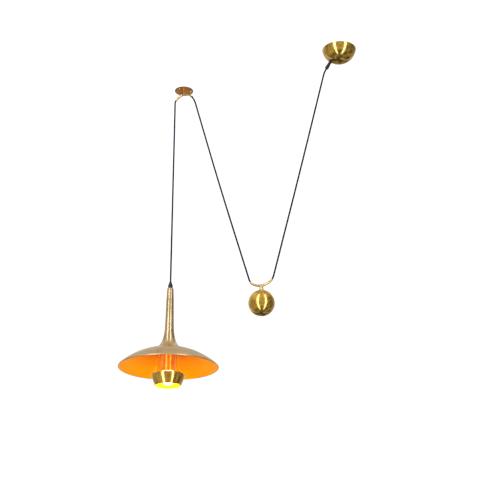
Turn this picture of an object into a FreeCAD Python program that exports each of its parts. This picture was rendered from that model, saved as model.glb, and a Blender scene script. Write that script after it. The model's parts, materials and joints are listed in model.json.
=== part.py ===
import FreeCAD, Part
import math
import os
import re
import Sketcher

# A rise-and-fall pendant lamp, in millimetres. The origin is the middle of the canopy on the ceiling,
# +Z is up and +X runs from the hook to the canopy. One cord leaves the canopy, runs down through the
# weight's curved tube, up over the hook's curved tube and down to the lamp.

SIZES = [
    # alias, value, what it measures
    ("cordWidth", 6, "round cord, outside"),
    ("wireWidth", 2.2, "insulated core inside the cord"),
    ("boreGap", 0.1, "play round the cord in a bore"),
    ("fitGap", 0.08, "play round a screw, stud or threaded rod"),
    ("seatGap", 0.05, "play under a flat face on a curved one"),
    ("endGap", 0.3, "play past the end of a screw, stud or wire"),
    ("cutPast", 2, "a cutting shape past what it cuts"),
    ("screwLength", 28, "ceiling screw above its head"),
    ("screwNeck", 3.6, "plain part of a ceiling screw, under its head"),
    ("domeRadius", 70, "sphere that the canopy is cut from"),
    ("domeDepth", 58.2, "canopy below the ceiling"),
    ("domeWall", 1.2, "canopy sheet"),
    ("gripTilt", 35, "canopy cord grip from straight down"),
    ("gripLength", 34.2, "canopy cord grip outside the dome"),
    ("gripShank", 10, "thread of the canopy cord grip"),
    ("gripShankLength", 9, "thread inside the dome"),
    ("gripFlange", 14.4, "collar of the canopy cord grip"),
    ("gripFlangeDepth", 3, "collar of the canopy cord grip, height"),
    ("gripBody", 12.4, "canopy cord grip below its collar"),
    ("gripTip", 7.8, "canopy cord grip at its end"),
    ("gripNut", 16, "nut inside the dome, across its corners"),
    ("gripNutHeight", 4, "nut inside the dome, height"),
    ("sheathInside", 18, "cord sheath inside the dome, from the wall"),
    ("coreSpread", 1.36, "middle of a core from the middle of the cord"),
    ("coreLead", 8, "straight start of a core inside the dome"),
    ("coreApproach", 7, "straight end of a core before its terminal"),
    ("coreInBlock", 3, "core inside the terminal block"),
    ("earthApproach", 12, "straight end of the earth core"),
    ("earthRise", 2, "fall of that end"),
    ("strapWidth", 20, "ceiling bracket, width"),
    ("strapWall", 2.5, "ceiling bracket, thickness"),
    ("earDrop", 17, "bracket ear below the ceiling"),
    ("earGap", 0.4, "bracket ear to the dome"),
    ("strapScrewReach", 38, "ceiling screw from the bracket's middle"),
    ("strapScrewShank", 4.2, "ceiling screw of the bracket"),
    ("strapScrewHead", 8, "ceiling screw head"),
    ("strapScrewHeadDepth", 2.6, "ceiling screw head, height"),
    ("sideScrewDrop", 12, "side screw below the ceiling"),
    ("sideScrewShank", 3.8, "side screw of the dome"),
    ("sideScrewHead", 7, "side screw head"),
    ("sideScrewHeadDepth", 2.4, "side screw head, height"),
    ("sideScrewPast", 1.2, "side screw past the ear"),
    ("blockReach", 18, "terminal block from the bracket's middle"),
    ("blockWidth", 16, "terminal block across"),
    ("blockLength", 27, "terminal block along the strap"),
    ("blockDepth", 13, "terminal block, height"),
    ("poleSpacing", 8, "one terminal to the next"),
    ("poleBore", 3.4, "wire hole in the terminal block"),
    ("poleScrew", 3, "terminal screw"),
    ("blockScrewShank", 2.8, "screw that holds the terminal block"),
    ("blockScrewHead", 4.6, "its head"),
    ("blockScrewHeadDepth", 1.6, "its head, height"),
    ("earthReach", 18, "earth screw from the bracket's middle"),
    ("earthScrewShank", 4, "earth screw"),
    ("earthScrewHead", 7.4, "earth screw head"),
    ("hookReach", 733, "hook from the canopy"),
    ("plateWidth", 80, "hook plate"),
    ("plateDepth", 3, "hook plate, thickness"),
    ("plateEdge", 0.5, "hook plate, broken edge"),
    ("plateScrewCircle", 60, "screw circle of the hook plate"),
    ("plateScrewTurn", 21, "first screw of the hook plate, from +X"),
    ("plateScrewShank", 4.2, "ceiling screw of the hook plate"),
    ("plateScrewHead", 8, "its head"),
    ("plateScrewHeadDepth", 2.4, "its head, height"),
    ("postWidth", 9, "post between plate and tube"),
    ("postCup", 3, "post down the sides of the tube"),
    ("postScrewShank", 4, "screw through the plate into the post"),
    ("postScrewHead", 8, "its countersunk head"),
    ("postScrewHeadDepth", 2.2, "its countersunk head, depth"),
    ("postScrewLength", 9, "its whole length"),
    ("tubeWidth", 10, "curved brass tube, outside"),
    ("tubeBore", 8, "curved brass tube, inside"),
    ("hookDrop", 18.5, "top of the hook tube's centre line below the ceiling"),
    ("hookBend", 49.3, "hook tube, radius of its centre line"),
    ("hookHalfAngle", 55, "hook tube, half of its arc"),
    ("bushLength", 6, "black bush inside a tube's mouth"),
    ("cordBend", 20, "cord's bend below the hook tube"),
    ("hookLegLead", 23.2, "cord's straight start at the hook tube"),
    ("hookLegBow", 2.3, "cord between hook and weight, off the straight line"),
    ("canopyLegLead", 15.4, "cord's straight start at the canopy grip"),
    ("canopyLegBow", 1.1, "cord between canopy and weight, off the straight line"),
    ("saddleLead", 6.5, "cord's straight end at the weight tube"),
    ("weightReach", 362.5, "weight from the canopy"),
    ("weightDrop", 963.1, "bottom of the weight tube's centre line below the ceiling"),
    ("saddleBend", 66, "weight tube, radius of its centre line"),
    ("saddleHalfAngle", 44, "weight tube, half of its arc"),
    ("neckHeight", 15.4, "tube to ball"),
    ("neckTop", 14.4, "neck below the tube"),
    ("neckFoot", 22, "neck on the ball"),
    ("neckCup", 2.5, "neck up the sides of the tube"),
    ("studWidth", 6, "stud from the neck into the core"),
    ("studInNeck", 11, "stud inside the neck"),
    ("studInBall", 26, "stud inside the ball"),
    ("ballWidth", 103.2, "weight, outside"),
    ("ballWall", 1.5, "brass skin of the weight"),
    ("coreGap", 0.1, "core to skin"),
    ("lampDrop", 880, "lamp's cord grip below the ceiling"),
    ("lampGripLength", 27.8, "lamp's cord grip"),
    ("lampGripTaper", 18, "tapered part of it"),
    ("lampGripTip", 8.2, "lamp's cord grip at its top"),
    ("lampGripFoot", 19.4, "lamp's cord grip on the stem"),
    ("rodWidth", 10, "threaded tube along the lamp"),
    ("rodBore", 7, "its bore"),
    ("rodInGrip", 12, "threaded tube inside the cord grip"),
    ("stemHeight", 254.2, "stem's top to the shade's top"),
    ("stemLip", 19, "flat top of the stem"),
    ("stemShoulder", 4, "sloping shoulder of the stem, height"),
    ("stemTop", 26, "stem below its shoulder"),
    ("stemWaist", 34.8, "stem above its flare"),
    ("stemGrowth", 70, "length over which the stem widens to its waist"),
    ("stemFoot", 107.8, "foot of the flare on the shade"),
    ("stemFlare", 28, "length over which the flare falls away"),
    ("stemWall", 1.6, "stem, wall"),
    ("shadeWidth", 401, "shade, outside"),
    ("shadeHeight", 81, "shade, top to rim"),
    ("shadeEdge", 9, "radius of the shade's rolled edge"),
    ("shadeWall", 0.9, "shade sheet"),
    ("washerWidth", 32, "spacer under the shade's top"),
    ("carrierWidth", 72, "carrier disc of the three rods"),
    ("carrierDepth", 3, "carrier disc, thickness"),
    ("carrierGap", 0.3, "carrier disc to the shade"),
    ("rodCircle", 65, "three rods at the carrier disc"),
    ("cupRodWidth", 4, "rod that carries the cup"),
    ("cupRodGap", 0.3, "rod to the cup's wall"),
    ("sleeveWidth", 54, "straight tube round the lampholder, outside"),
    ("sleeveWall", 1.2, "its wall"),
    ("sleeveHeight", 90.5, "its height"),
    ("lockNut", 17, "nut on the threaded tube, across its corners"),
    ("lockNutHeight", 4, "its height"),
    ("rodPast", 9, "threaded tube below the nut"),
    ("holderWidth", 43, "lampholder body"),
    ("holderCapWidth", 39, "lampholder cap"),
    ("holderCapHeight", 16, "lampholder cap, height"),
    ("holderBodyHeight", 45, "lampholder body, height"),
    ("holderWall", 2.5, "lampholder wall"),
    ("holderBase", 4, "floor inside the lampholder body"),
    ("holderBaseDrop", 10, "that floor below the cap"),
    ("contactHeight", 5, "centre contact of the lampholder"),
    ("contactWidth", 8, "its width"),
    ("lampCoreSpread", 7, "lampholder core from the middle, at its lower end"),
    ("lampCoreLead", 4.5, "its straight start and end"),
    ("shellWidth", 28.6, "screw shell of the lampholder, outside"),
    ("shellWall", 0.6, "screw shell, wall"),
    ("shellHeight", 26, "screw shell, height"),
    ("bulbWidth", 60, "bulb"),
    ("bulbHeight", 105, "bulb, contact to tip"),
    ("bulbWall", 0.8, "bulb glass and cap"),
    ("bulbCapWidth", 26.4, "bulb cap"),
    ("bulbCapHeight", 24.5, "bulb cap, height"),
    ("bulbCapSlope", 5.5, "sloping top of the bulb cap"),
    ("bulbContact", 9, "contact on the bulb cap"),
    ("bulbContactHeight", 2.5, "its height"),
    ("bulbContactInCap", 1, "part of it inside the cap"),
    ("bulbNeck", 5, "bulb glass inside the cap"),
    ("cupDrop", 110, "shade's top to the cup's rim"),
    ("cupTop", 132, "cup at its rim"),
    ("cupFoot", 101, "cup at its lower opening"),
    ("cupHeight", 44, "cup"),
    ("cupBulge", 140, "radius of the cup's wall, seen from the side"),
    ("cupWall", 1, "cup sheet"),
]

# Places and lengths that follow from the sizes.
HOLE = "(cordWidth/2 + boreGap)"
DOME_LIFT = "(domeRadius - domeDepth)"
GRIP_SEAT = "sqrt(domeRadius^2 - (gripShank/2 + fitGap)^2)"
GRIP_NUT_SEAT = "(sqrt((domeRadius - domeWall)^2 - (gripNut/2)^2) - seatGap)"
SHEATH_END = "(domeRadius - sheathInside)"
EAR = ("(sqrt((domeRadius - domeWall)^2 - (domeRadius - domeDepth + earDrop)^2 - (strapWidth/2)^2)"
       " - earGap)")
SIDE_SCREW_SEAT = ("(sqrt(domeRadius^2 - (domeRadius - domeDepth + sideScrewDrop - sideScrewHead/2)^2)"
                   " + seatGap)")
WIRE_HEIGHT = "(strapWall + blockDepth/2)"
HOOK_CENTRE = "(hookDrop + hookBend)"
HOOK_MOUTH = "(hookBend*sin(hookHalfAngle))"
HOOK_MOUTH_DROP = f"({HOOK_CENTRE} - hookBend*cos(hookHalfAngle))"
HOOK_BUSH_ANGLE = "(bushLength/hookBend*180/pi)"
LAMP_REACH = f"(hookReach + {HOOK_MOUTH} + cordBend*(1 - sin(hookHalfAngle)))"
PIVOT_DROP = f"({HOOK_MOUTH_DROP} + cordBend*cos(hookHalfAngle))"
SADDLE_CENTRE = "(weightDrop - saddleBend)"
SADDLE_MOUTH = "(saddleBend*sin(saddleHalfAngle))"
SADDLE_MOUTH_DROP = f"({SADDLE_CENTRE} + saddleBend*cos(saddleHalfAngle))"
SADDLE_BUSH_ANGLE = "(bushLength/saddleBend*180/pi)"
BALL_TOP = "(weightDrop + tubeWidth/2 + neckHeight)"
BALL_CENTRE = f"({BALL_TOP} + ballWidth/2)"
STEM_TOP = "(lampDrop + lampGripLength)"
SHADE_TOP = f"({STEM_TOP} + stemHeight)"
CAP_BASE = "(shadeWidth/2 - shadeEdge)"
CAP_RADIUS = f"(({CAP_BASE}^2 + shadeHeight^2 - shadeEdge^2)/(2*(shadeHeight - shadeEdge)))"
FOOT_DROP = f"({SHADE_TOP} + {CAP_RADIUS} - sqrt({CAP_RADIUS}^2 - (stemFoot/2 - stemWall)^2) - seatGap)"


def inside_sag(width):
    """How far the shade's inner face lies below its own top, at a disc of this width."""
    return f"({CAP_RADIUS} - shadeWall - sqrt(({CAP_RADIUS} - shadeWall)^2 - ({width}/2)^2))"


WASHER_TOP = f"({SHADE_TOP} + shadeWall + {inside_sag('washerWidth')} + seatGap)"
CARRIER_TOP = f"({SHADE_TOP} + shadeWall + {inside_sag('carrierWidth')} + carrierGap)"
SLEEVE_TOP = f"({CARRIER_TOP} + carrierDepth)"
NUT_TOP = f"({SLEEVE_TOP} + sleeveWall)"
HOLDER_TOP = f"({NUT_TOP} + lockNutHeight)"
ROD_END = f"({HOLDER_TOP} + rodPast)"
HOLDER_BODY = f"({HOLDER_TOP} + holderCapHeight)"
BASE_TOP = f"({HOLDER_BODY} + holderBaseDrop)"
BULB_TOP = f"({BASE_TOP} + holderBase + contactHeight)"
BULB_CAP_TOP = f"({BULB_TOP} + bulbContactHeight)"
BULB_CAP_END = f"({BULB_CAP_TOP} + bulbCapHeight)"
BULB_CENTRE = f"({BULB_TOP} + bulbHeight - bulbWidth/2)"
CUP_TOP = f"({SHADE_TOP} + cupDrop)"

doc = FreeCAD.newDocument("RiseAndFallPendant")
sheet = doc.addObject("Spreadsheet::Sheet", "Sizes")
for row, (alias, value, note) in enumerate(SIZES, start=1):
    sheet.set(f"A{row}", note)
    sheet.set(f"B{row}", str(value))
    sheet.setAlias(f"B{row}", alias)
doc.recompute()

ALIASES = {alias for alias, value, note in SIZES}
pieces = []


def bound(text):
    """An expression in size names, written the way an object's property needs it."""
    return re.sub(r"[A-Za-z]\w*", lambda word: ("Sizes." if word[0] in ALIASES else "") + word[0], text)


def measure(text):
    """The present value of an expression in size names."""
    return float(sheet.evalExpression(text))


def place(thing, at=("0", "0", "0"), yaw="0", pitch="0", roll="0"):
    where = "; ".join(at)
    thing.setExpression("Placement", bound(f"placement(vector({where}); rotation({yaw}; {pitch}; {roll}))"))
    return thing


def primitive(kind, name, at=("0", "0", "0"), yaw="0", pitch="0", roll="0", **lengths):
    made = doc.addObject("Part::" + kind, name)
    for prop, text in lengths.items():
        made.setExpression(prop, bound(text))
    return place(made, at, yaw, pitch, roll)


def cut(name, base, tools):
    """The base with each of the tools taken away."""
    tool = tools[0]
    if len(tools) > 1:
        tool = doc.addObject("Part::MultiFuse", name + "Tools")
        tool.Shapes = tools
    made = doc.addObject("Part::Cut", name)
    made.Base = base
    made.Tool = tool
    return made


def keep(label, thing):
    """Take the object as a finished piece: its label is the piece's name."""
    thing.Label = label
    pieces.append(thing)
    return thing


def new_sketch(body, name, role):
    sketch = body.newObject("Sketcher::SketchObject", name)
    plane = [flat for flat in body.Origin.OriginFeatures if flat.Role == role][0]
    sketch.AttachmentSupport = (plane, [""])
    sketch.MapMode = "FlatFace"
    return sketch


def pin_vertex(sketch, edge, end, across, up):
    """Tie one end of an edge to its two coordinates."""
    for kind, text, axis in (("DistanceX", across, -2), ("DistanceY", up, -1)):
        if text == "0":
            sketch.addConstraint(Sketcher.Constraint("PointOnObject", edge, end, axis))
        else:
            number = sketch.addConstraint(Sketcher.Constraint(kind, -1, 1, edge, end, measure(text)))
            sketch.setExpression(f"Constraints[{number}]", bound(text))


def outline(sketch, corners):
    """A closed outline. A corner is (across, up), or (across, up, radius, side) where the edge that
    leaves it is an arc of less than half a turn: side 1 has the arc's centre on the left, -1 on the
    right."""
    spots = [FreeCAD.Vector(measure(corner[0]), measure(corner[1]), 0) for corner in corners]
    ends = []
    for number, corner in enumerate(corners):
        start = spots[number]
        stop = spots[(number + 1) % len(spots)]
        if len(corner) == 2:
            sketch.addGeometry(Part.LineSegment(start, stop), False)
            ends.append((1, 2))
            continue
        chord = stop - start
        radius = measure(corner[2])
        left = FreeCAD.Vector(-chord.y, chord.x, 0).normalize()
        depth = radius - math.sqrt(radius ** 2 - (chord.Length / 2) ** 2)
        middle = (start + stop) * 0.5 - left * (depth * corner[3])
        sketch.addGeometry(Part.Arc(start, middle, stop), False)
        ahead = sketch.getPoint(number, 1).distanceToPoint(start) < 1e-6
        ends.append((1, 2) if ahead else (2, 1))
    for number, corner in enumerate(corners):
        following = (number + 1) % len(corners)
        sketch.addConstraint(
            Sketcher.Constraint("Coincident", number, ends[number][1], following, ends[following][0]))
        pin_vertex(sketch, number, ends[number][0], corner[0], corner[1])
        if len(corner) == 4:
            arc = sketch.addConstraint(Sketcher.Constraint("Radius", number, measure(corner[2])))
            sketch.setExpression(f"Constraints[{arc}]", bound(corner[2]))


def turned(name, corners, at=("0", "0", "0"), yaw="0", pitch="0", roll="0"):
    """A body of revolution: corners are (radius, height) from the body's own origin."""
    body = doc.addObject("PartDesign::Body", name)
    sketch = new_sketch(body, name + "Outline", "XZ_Plane")
    outline(sketch, corners)
    turn = body.newObject("PartDesign::Revolution", name + "Turn")
    turn.Profile = sketch
    turn.ReferenceAxis = (sketch, ["V_Axis"])
    turn.Angle = 360
    return place(body, at, yaw, pitch, roll)


def bent(name, bend, outer, inner, sweep, middle, at):
    """A round bar or tube bent in an arc about the Y direction. The middle of the arc lies above the
    arc's centre when middle is 0, and turns towards +X with it."""
    body = doc.addObject("PartDesign::Body", name)
    sketch = new_sketch(body, name + "Ring", "YZ_Plane")
    widths = [outer, inner] if inner else [outer]
    for number, width in enumerate(widths):
        centre = FreeCAD.Vector(0, measure(bend), 0)
        sketch.addGeometry(Part.Circle(centre, FreeCAD.Vector(0, 0, 1), measure(width) / 2), False)
        pin_vertex(sketch, number, 3, "0", bend)
        radius = sketch.addConstraint(Sketcher.Constraint("Radius", number, measure(width) / 2))
        sketch.setExpression(f"Constraints[{radius}]", bound(f"({width})/2"))
    turn = body.newObject("PartDesign::Revolution", name + "Turn")
    turn.Profile = sketch
    turn.ReferenceAxis = (sketch, ["H_Axis"])
    turn.Midplane = True
    turn.setExpression("Angle", bound(sweep))
    return place(body, at, pitch=middle)


def headed_screw(name, head, head_depth, shank, length, at, roll="0", neck=None):
    """A round-headed screw: its head's seat is the body's origin and its shank runs along +Z. A neck
    is (width, length) of a thinner part under the head."""
    bow = f"(({head}/2)^2 + {head_depth}^2)/(2*{head_depth})"
    corners = [("0", f"-{head_depth}", bow, 1), (f"{head}/2", "0")]
    seat = "0"
    if neck:
        corners += [(f"{neck[0]}/2", "0"), (f"{neck[0]}/2", neck[1])]
        seat = neck[1]
    corners += [(f"{shank}/2", seat), (f"{shank}/2", length), ("0", length)]
    return turned(name, corners, at, roll=roll)


def tube_along(label, points, width):
    """A round cord through the points: straight runs joined by tangent arcs."""
    start = points[0]
    edges = []
    radii = []
    for before, corner, after in zip(points, points[1:], points[2:]):
        into = (corner - before).normalize()
        out = (after - corner).normalize()
        half = math.acos(max(-1, min(1, into.dot(out)))) / 2
        reach = 0.45 * min((corner - before).Length, (after - corner).Length)
        radius = reach / math.tan(half)
        first = corner - into * reach
        last = corner + out * reach
        inward = (out - into).normalize()
        middle = corner + inward * (radius / math.cos(half) - radius)
        edges.append(Part.LineSegment(start, first).toShape())
        edges.append(Part.Arc(first, middle, last).toShape())
        radii.append(round(radius, 1))
        start = last
    edges.append(Part.LineSegment(start, points[-1]).toShape())
    path = Part.Wire(edges)
    heading = (points[1] - points[0]).normalize()
    ring = Part.Wire([Part.makeCircle(width / 2, points[0], heading)])
    solid = path.makePipeShell([ring], True, False)
    share = solid.Volume / (math.pi * width ** 2 / 4 * path.Length)
    print(label, "arc radii", radii, "length", round(path.Length, 1), "filled", round(share, 4))
    thing = doc.addObject("Part::Feature", label)
    thing.Shape = solid
    return keep(label, thing)


def between(start, end, bow):
    """The point halfway from start to end, moved off that line, down, by the bow."""
    along = (end - start).normalize()
    down = FreeCAD.Vector(along.z, 0, -along.x)
    if down.z > 0:
        down = down * -1
    return (start + end) * 0.5 + down * bow


# ---- Canopy on the ceiling ----

def make_bracket():
    body = doc.addObject("PartDesign::Body", "Strap")
    sketch = new_sketch(body, "StrapOutline", "YZ_Plane")
    outline(sketch, [
        (f"-{EAR}", "0"),
        (f"-{EAR}", "-earDrop"),
        (f"-({EAR} - strapWall)", "-earDrop"),
        (f"-({EAR} - strapWall)", "-strapWall"),
        (f"{EAR} - strapWall", "-strapWall"),
        (f"{EAR} - strapWall", "-earDrop"),
        (EAR, "-earDrop"),
        (EAR, "0"),
    ])
    pad = body.newObject("PartDesign::Pad", "StrapPad")
    pad.Profile = sketch
    pad.setExpression("Length", bound("strapWidth"))
    pad.Midplane = True
    place(body)
    holes = [primitive("Cylinder", "SideHoles", ("0", EAR, "-sideScrewDrop"), roll="90",
                       Radius="sideScrewShank/2 + fitGap", Height=f"2*{EAR}")]
    upright = [
        ("BackScrewHole", "strapScrewReach", "strapScrewShank"),
        ("FrontScrewHole", "-strapScrewReach", "strapScrewShank"),
        ("BlockScrewHole", "blockReach + poleSpacing/2", "blockScrewShank"),
        ("EarthHole", "-earthReach", "earthScrewShank"),
    ]
    for name, reach, shank in upright:
        holes.append(primitive("Cylinder", name, ("0", reach, "-strapWall - cutPast"),
                               Radius=f"{shank}/2 + fitGap", Height="strapWall + 2*cutPast"))
    keep("ceiling_bracket", cut("Bracket", body, holes))
    for number, side in enumerate(("", "-"), start=1):
        keep(f"bracket_screw_{number}", headed_screw(
            f"BracketScrew{number}", "strapScrewHead", "strapScrewHeadDepth", "strapScrewShank",
            "screwLength", ("0", f"{side}strapScrewReach", "-strapWall"), neck=("screwNeck", "strapWall")))


def make_dome():
    rim = "sqrt(domeRadius^2 - (domeRadius - domeDepth)^2)"
    inner_rim = "sqrt((domeRadius - domeWall)^2 - (domeRadius - domeDepth)^2)"
    shell = turned("DomeShell", [
        ("0", "-domeDepth", "domeRadius", 1),
        (rim, "0"),
        (inner_rim, "0", "domeRadius - domeWall", -1),
        ("0", "-domeDepth + domeWall"),
    ])
    grip_hole = primitive("Cylinder", "GripHole", ("0", "0", DOME_LIFT), pitch="180 + gripTilt",
                          Radius="gripShank/2 + fitGap", Height="domeRadius + cutPast")
    side_hole = primitive("Cylinder", "DomeSideHole", ("0", "domeRadius", "-sideScrewDrop"), roll="90",
                          Radius="sideScrewShank/2 + fitGap", Height="2*domeRadius")
    keep("canopy_dome", cut("Dome", shell, [grip_hole, side_hole]))
    length = f"{SIDE_SCREW_SEAT} - {EAR} + strapWall + sideScrewPast"
    for number, (side, roll) in enumerate((("", "90"), ("-", "-90")), start=1):
        keep(f"dome_screw_{number}", headed_screw(
            f"DomeScrew{number}", "sideScrewHead", "sideScrewHeadDepth", "sideScrewShank", length,
            ("0", f"{side}{SIDE_SCREW_SEAT}", "-sideScrewDrop"), roll=roll))


def make_canopy_grip():
    """The cord grip stands on the dome's radius: heights are from the dome's centre, outwards."""
    centre = ("0", "0", DOME_LIFT)
    tilt = "180 + gripTilt"
    keep("canopy_cord_grip", turned("CanopyGrip", [
        (HOLE, f"{GRIP_SEAT} - gripShankLength"),
        ("gripShank/2", f"{GRIP_SEAT} - gripShankLength"),
        ("gripShank/2", GRIP_SEAT),
        ("gripFlange/2", GRIP_SEAT),
        ("gripFlange/2", f"{GRIP_SEAT} + gripFlangeDepth"),
        ("gripBody/2", f"{GRIP_SEAT} + gripFlangeDepth"),
        ("gripTip/2", f"{GRIP_SEAT} + gripLength"),
        (HOLE, f"{GRIP_SEAT} + gripLength"),
    ], centre, pitch=tilt))
    hexagon = doc.addObject("Part::Prism", "GripNutHexagon")
    hexagon.Polygon = 6
    hexagon.setExpression("Circumradius", bound("gripNut/2"))
    hexagon.setExpression("Height", bound("gripNutHeight"))
    low = f"({GRIP_NUT_SEAT} - gripNutHeight)"
    spot = (f"-sin(gripTilt)*{low}", "0", f"{DOME_LIFT} - cos(gripTilt)*{low}")
    place(hexagon, spot, pitch=tilt)
    thread = primitive("Cylinder", "GripNutThread", centre, pitch=tilt,
                       Radius="gripShank/2 + fitGap", Height="domeRadius")
    keep("canopy_grip_nut", cut("GripNut", hexagon, [thread]))
    end = (f"-sin(gripTilt)*{SHEATH_END}", "0", f"{DOME_LIFT} - cos(gripTilt)*{SHEATH_END}")
    keep("cord_in_canopy", primitive(
        "Cylinder", "CordInCanopy", end, pitch=tilt,
        Radius="cordWidth/2", Height=f"{GRIP_SEAT} + gripLength - {SHEATH_END}"))


def make_terminal_block():
    base = "-strapWall - blockDepth"
    block = primitive("Box", "BlockBox", ("-blockWidth/2", "blockReach - blockLength/2", base),
                      Length="blockWidth", Width="blockLength", Height="blockDepth")
    fixing = ("0", "blockReach + poleSpacing/2", base)
    holes = [primitive("Cylinder", "BlockScrewBore", fixing,
                       Radius="blockScrewShank/2 + fitGap", Height="blockDepth")]
    screws = []
    depth = "blockDepth/2 - poleBore/2"
    for number, pole in enumerate(("-poleSpacing", "0", "poleSpacing"), start=1):
        across = f"blockReach + ({pole})"
        holes.append(primitive("Cylinder", f"WireBore{number}", ("-blockWidth/2", across, f"-{WIRE_HEIGHT}"),
                               pitch="90", Radius="poleBore/2", Height="blockWidth"))
        spot = ("-blockWidth/4", across, base)
        holes.append(primitive("Cylinder", f"PoleScrewBore{number}", spot,
                               Radius="poleScrew/2 + fitGap", Height=f"{depth} + endGap"))
        screws.append(primitive("Cylinder", f"PoleScrew{number}", spot,
                                Radius="poleScrew/2", Height=depth))
    keep("terminal_block", cut("Block", block, holes))
    together = doc.addObject("Part::Compound", "PoleScrews")
    together.Links = screws
    keep("terminal_screws", place(together))
    keep("terminal_fixing_screw", headed_screw(
        "BlockScrew", "blockScrewHead", "blockScrewHeadDepth", "blockScrewShank",
        "blockDepth + strapWall - endGap", fixing))
    keep("earth_screw", headed_screw(
        "EarthScrew", "earthScrewHead", "blockScrewHeadDepth", "earthScrewShank", "strapWall - endGap",
        ("0", "-earthReach", "-strapWall")))


def make_canopy_wires():
    """Three cores run from the cord's sheath to the block's outer terminals and the earth screw."""
    tilt = math.radians(measure("gripTilt"))
    along = FreeCAD.Vector(math.sin(tilt), 0, math.cos(tilt))
    sheath = FreeCAD.Vector(0, 0, measure(DOME_LIFT)) - along * measure(SHEATH_END)
    width = measure("wireWidth")
    lead = along * measure("coreLead")
    below = FreeCAD.Vector(along.z, 0, -along.x)
    starts = {}
    for label, turn in (("live_wire", 30), ("neutral_wire", 270), ("earth_wire", 150)):
        angle = math.radians(turn)
        side = FreeCAD.Vector(0, math.cos(angle), 0) + below * math.sin(angle)
        starts[label] = sheath + side * measure("coreSpread")
    for label, pole in (("live_wire", 1), ("neutral_wire", -1)):
        across = measure("blockReach") + pole * measure("poleSpacing")
        height = -measure(WIRE_HEIGHT)
        tube_along(label, [
            starts[label],
            starts[label] + lead,
            FreeCAD.Vector(-measure("blockWidth/2 + coreApproach"), across, height),
            FreeCAD.Vector(-measure("blockWidth/2 - coreInBlock"), across, height),
        ], width)
    screw = FreeCAD.Vector(-measure("earthScrewHead/2 + endGap"), -measure("earthReach"),
                           -measure("strapWall + wireWidth/2 + boreGap"))
    tube_along("earth_wire", [
        starts["earth_wire"],
        starts["earth_wire"] + lead,
        screw - FreeCAD.Vector(measure("earthApproach"), 0, measure("earthRise")),
        screw,
    ], width)


# ---- Hook on the ceiling ----

def make_hook():
    at = ("-hookReach", "0", "0")
    disc = turned("PlateDisc", [
        ("postScrewHead/2 + fitGap", "0"),
        ("plateWidth/2", "0"),
        ("plateWidth/2", "-plateDepth + plateEdge"),
        ("plateWidth/2 - plateEdge", "-plateDepth"),
        ("postScrewShank/2 + fitGap", "-plateDepth"),
        ("postScrewShank/2 + fitGap", "-postScrewHeadDepth"),
    ], at)
    holes = []
    for number in range(3):
        turn = f"(plateScrewTurn + {120 * number})"
        spot = (
            f"-hookReach + plateScrewCircle/2*cos({turn})",
            f"plateScrewCircle/2*sin({turn})",
            "-plateDepth",
        )
        holes.append(primitive("Cylinder", f"PlateHole{number + 1}", spot,
                               Radius="plateScrewShank/2 + fitGap", Height="plateDepth"))
        keep(f"hook_screw_{number + 1}", headed_screw(
            f"HookScrew{number + 1}", "plateScrewHead", "plateScrewHeadDepth", "plateScrewShank",
            "screwLength", spot, neck=("screwNeck", "plateDepth")))
    keep("hook_plate", cut("Plate", disc, holes))
    keep("hook_post_screw", turned("PostScrew", [
        ("0", "0"),
        ("0", "-postScrewLength"),
        ("postScrewShank/2", "-postScrewLength"),
        ("postScrewShank/2", "-postScrewHeadDepth"),
        ("postScrewHead/2", "0"),
    ], at))
    foot = "-(hookDrop - tubeWidth/2 + postCup)"
    post = turned("PostBar", [
        ("postScrewShank/2 + fitGap", "-plateDepth"),
        ("postScrewShank/2 + fitGap", "-postScrewLength - endGap"),
        ("0", "-postScrewLength - endGap"),
        ("0", foot),
        ("postWidth/2", foot),
        ("postWidth/2", "-plateDepth"),
    ], at)
    centre = ("-hookReach", "0", f"-{HOOK_CENTRE}")
    seat = primitive("Torus", "PostSeat", centre, roll="90",
                     Radius1="hookBend", Radius2="tubeWidth/2 + seatGap")
    keep("hook_post", cut("Post", post, [seat]))
    keep("hook_tube", bent("HookTube", "hookBend", "tubeWidth", "tubeBore", "2*hookHalfAngle", "0", centre))
    keep("cord_in_hook_tube", bent(
        "CordInHook", "hookBend", "cordWidth", None, "2*hookHalfAngle", "0", centre))
    for number, side in enumerate(("", "-"), start=1):
        keep(f"hook_bush_{number}", bent(
            f"HookBush{number}", "hookBend", "tubeBore - 2*fitGap", f"2*{HOLE}", HOOK_BUSH_ANGLE,
            f"{side}(hookHalfAngle - {HOOK_BUSH_ANGLE}/2)", centre))
    keep("cord_hook_bend", bent(
        "CordHookBend", "cordBend", "cordWidth", None, "90 - hookHalfAngle", "-(90 + hookHalfAngle)/2",
        (f"-({LAMP_REACH} - cordBend)", "0", f"-{PIVOT_DROP}")))


# ---- Counterweight ----

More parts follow.
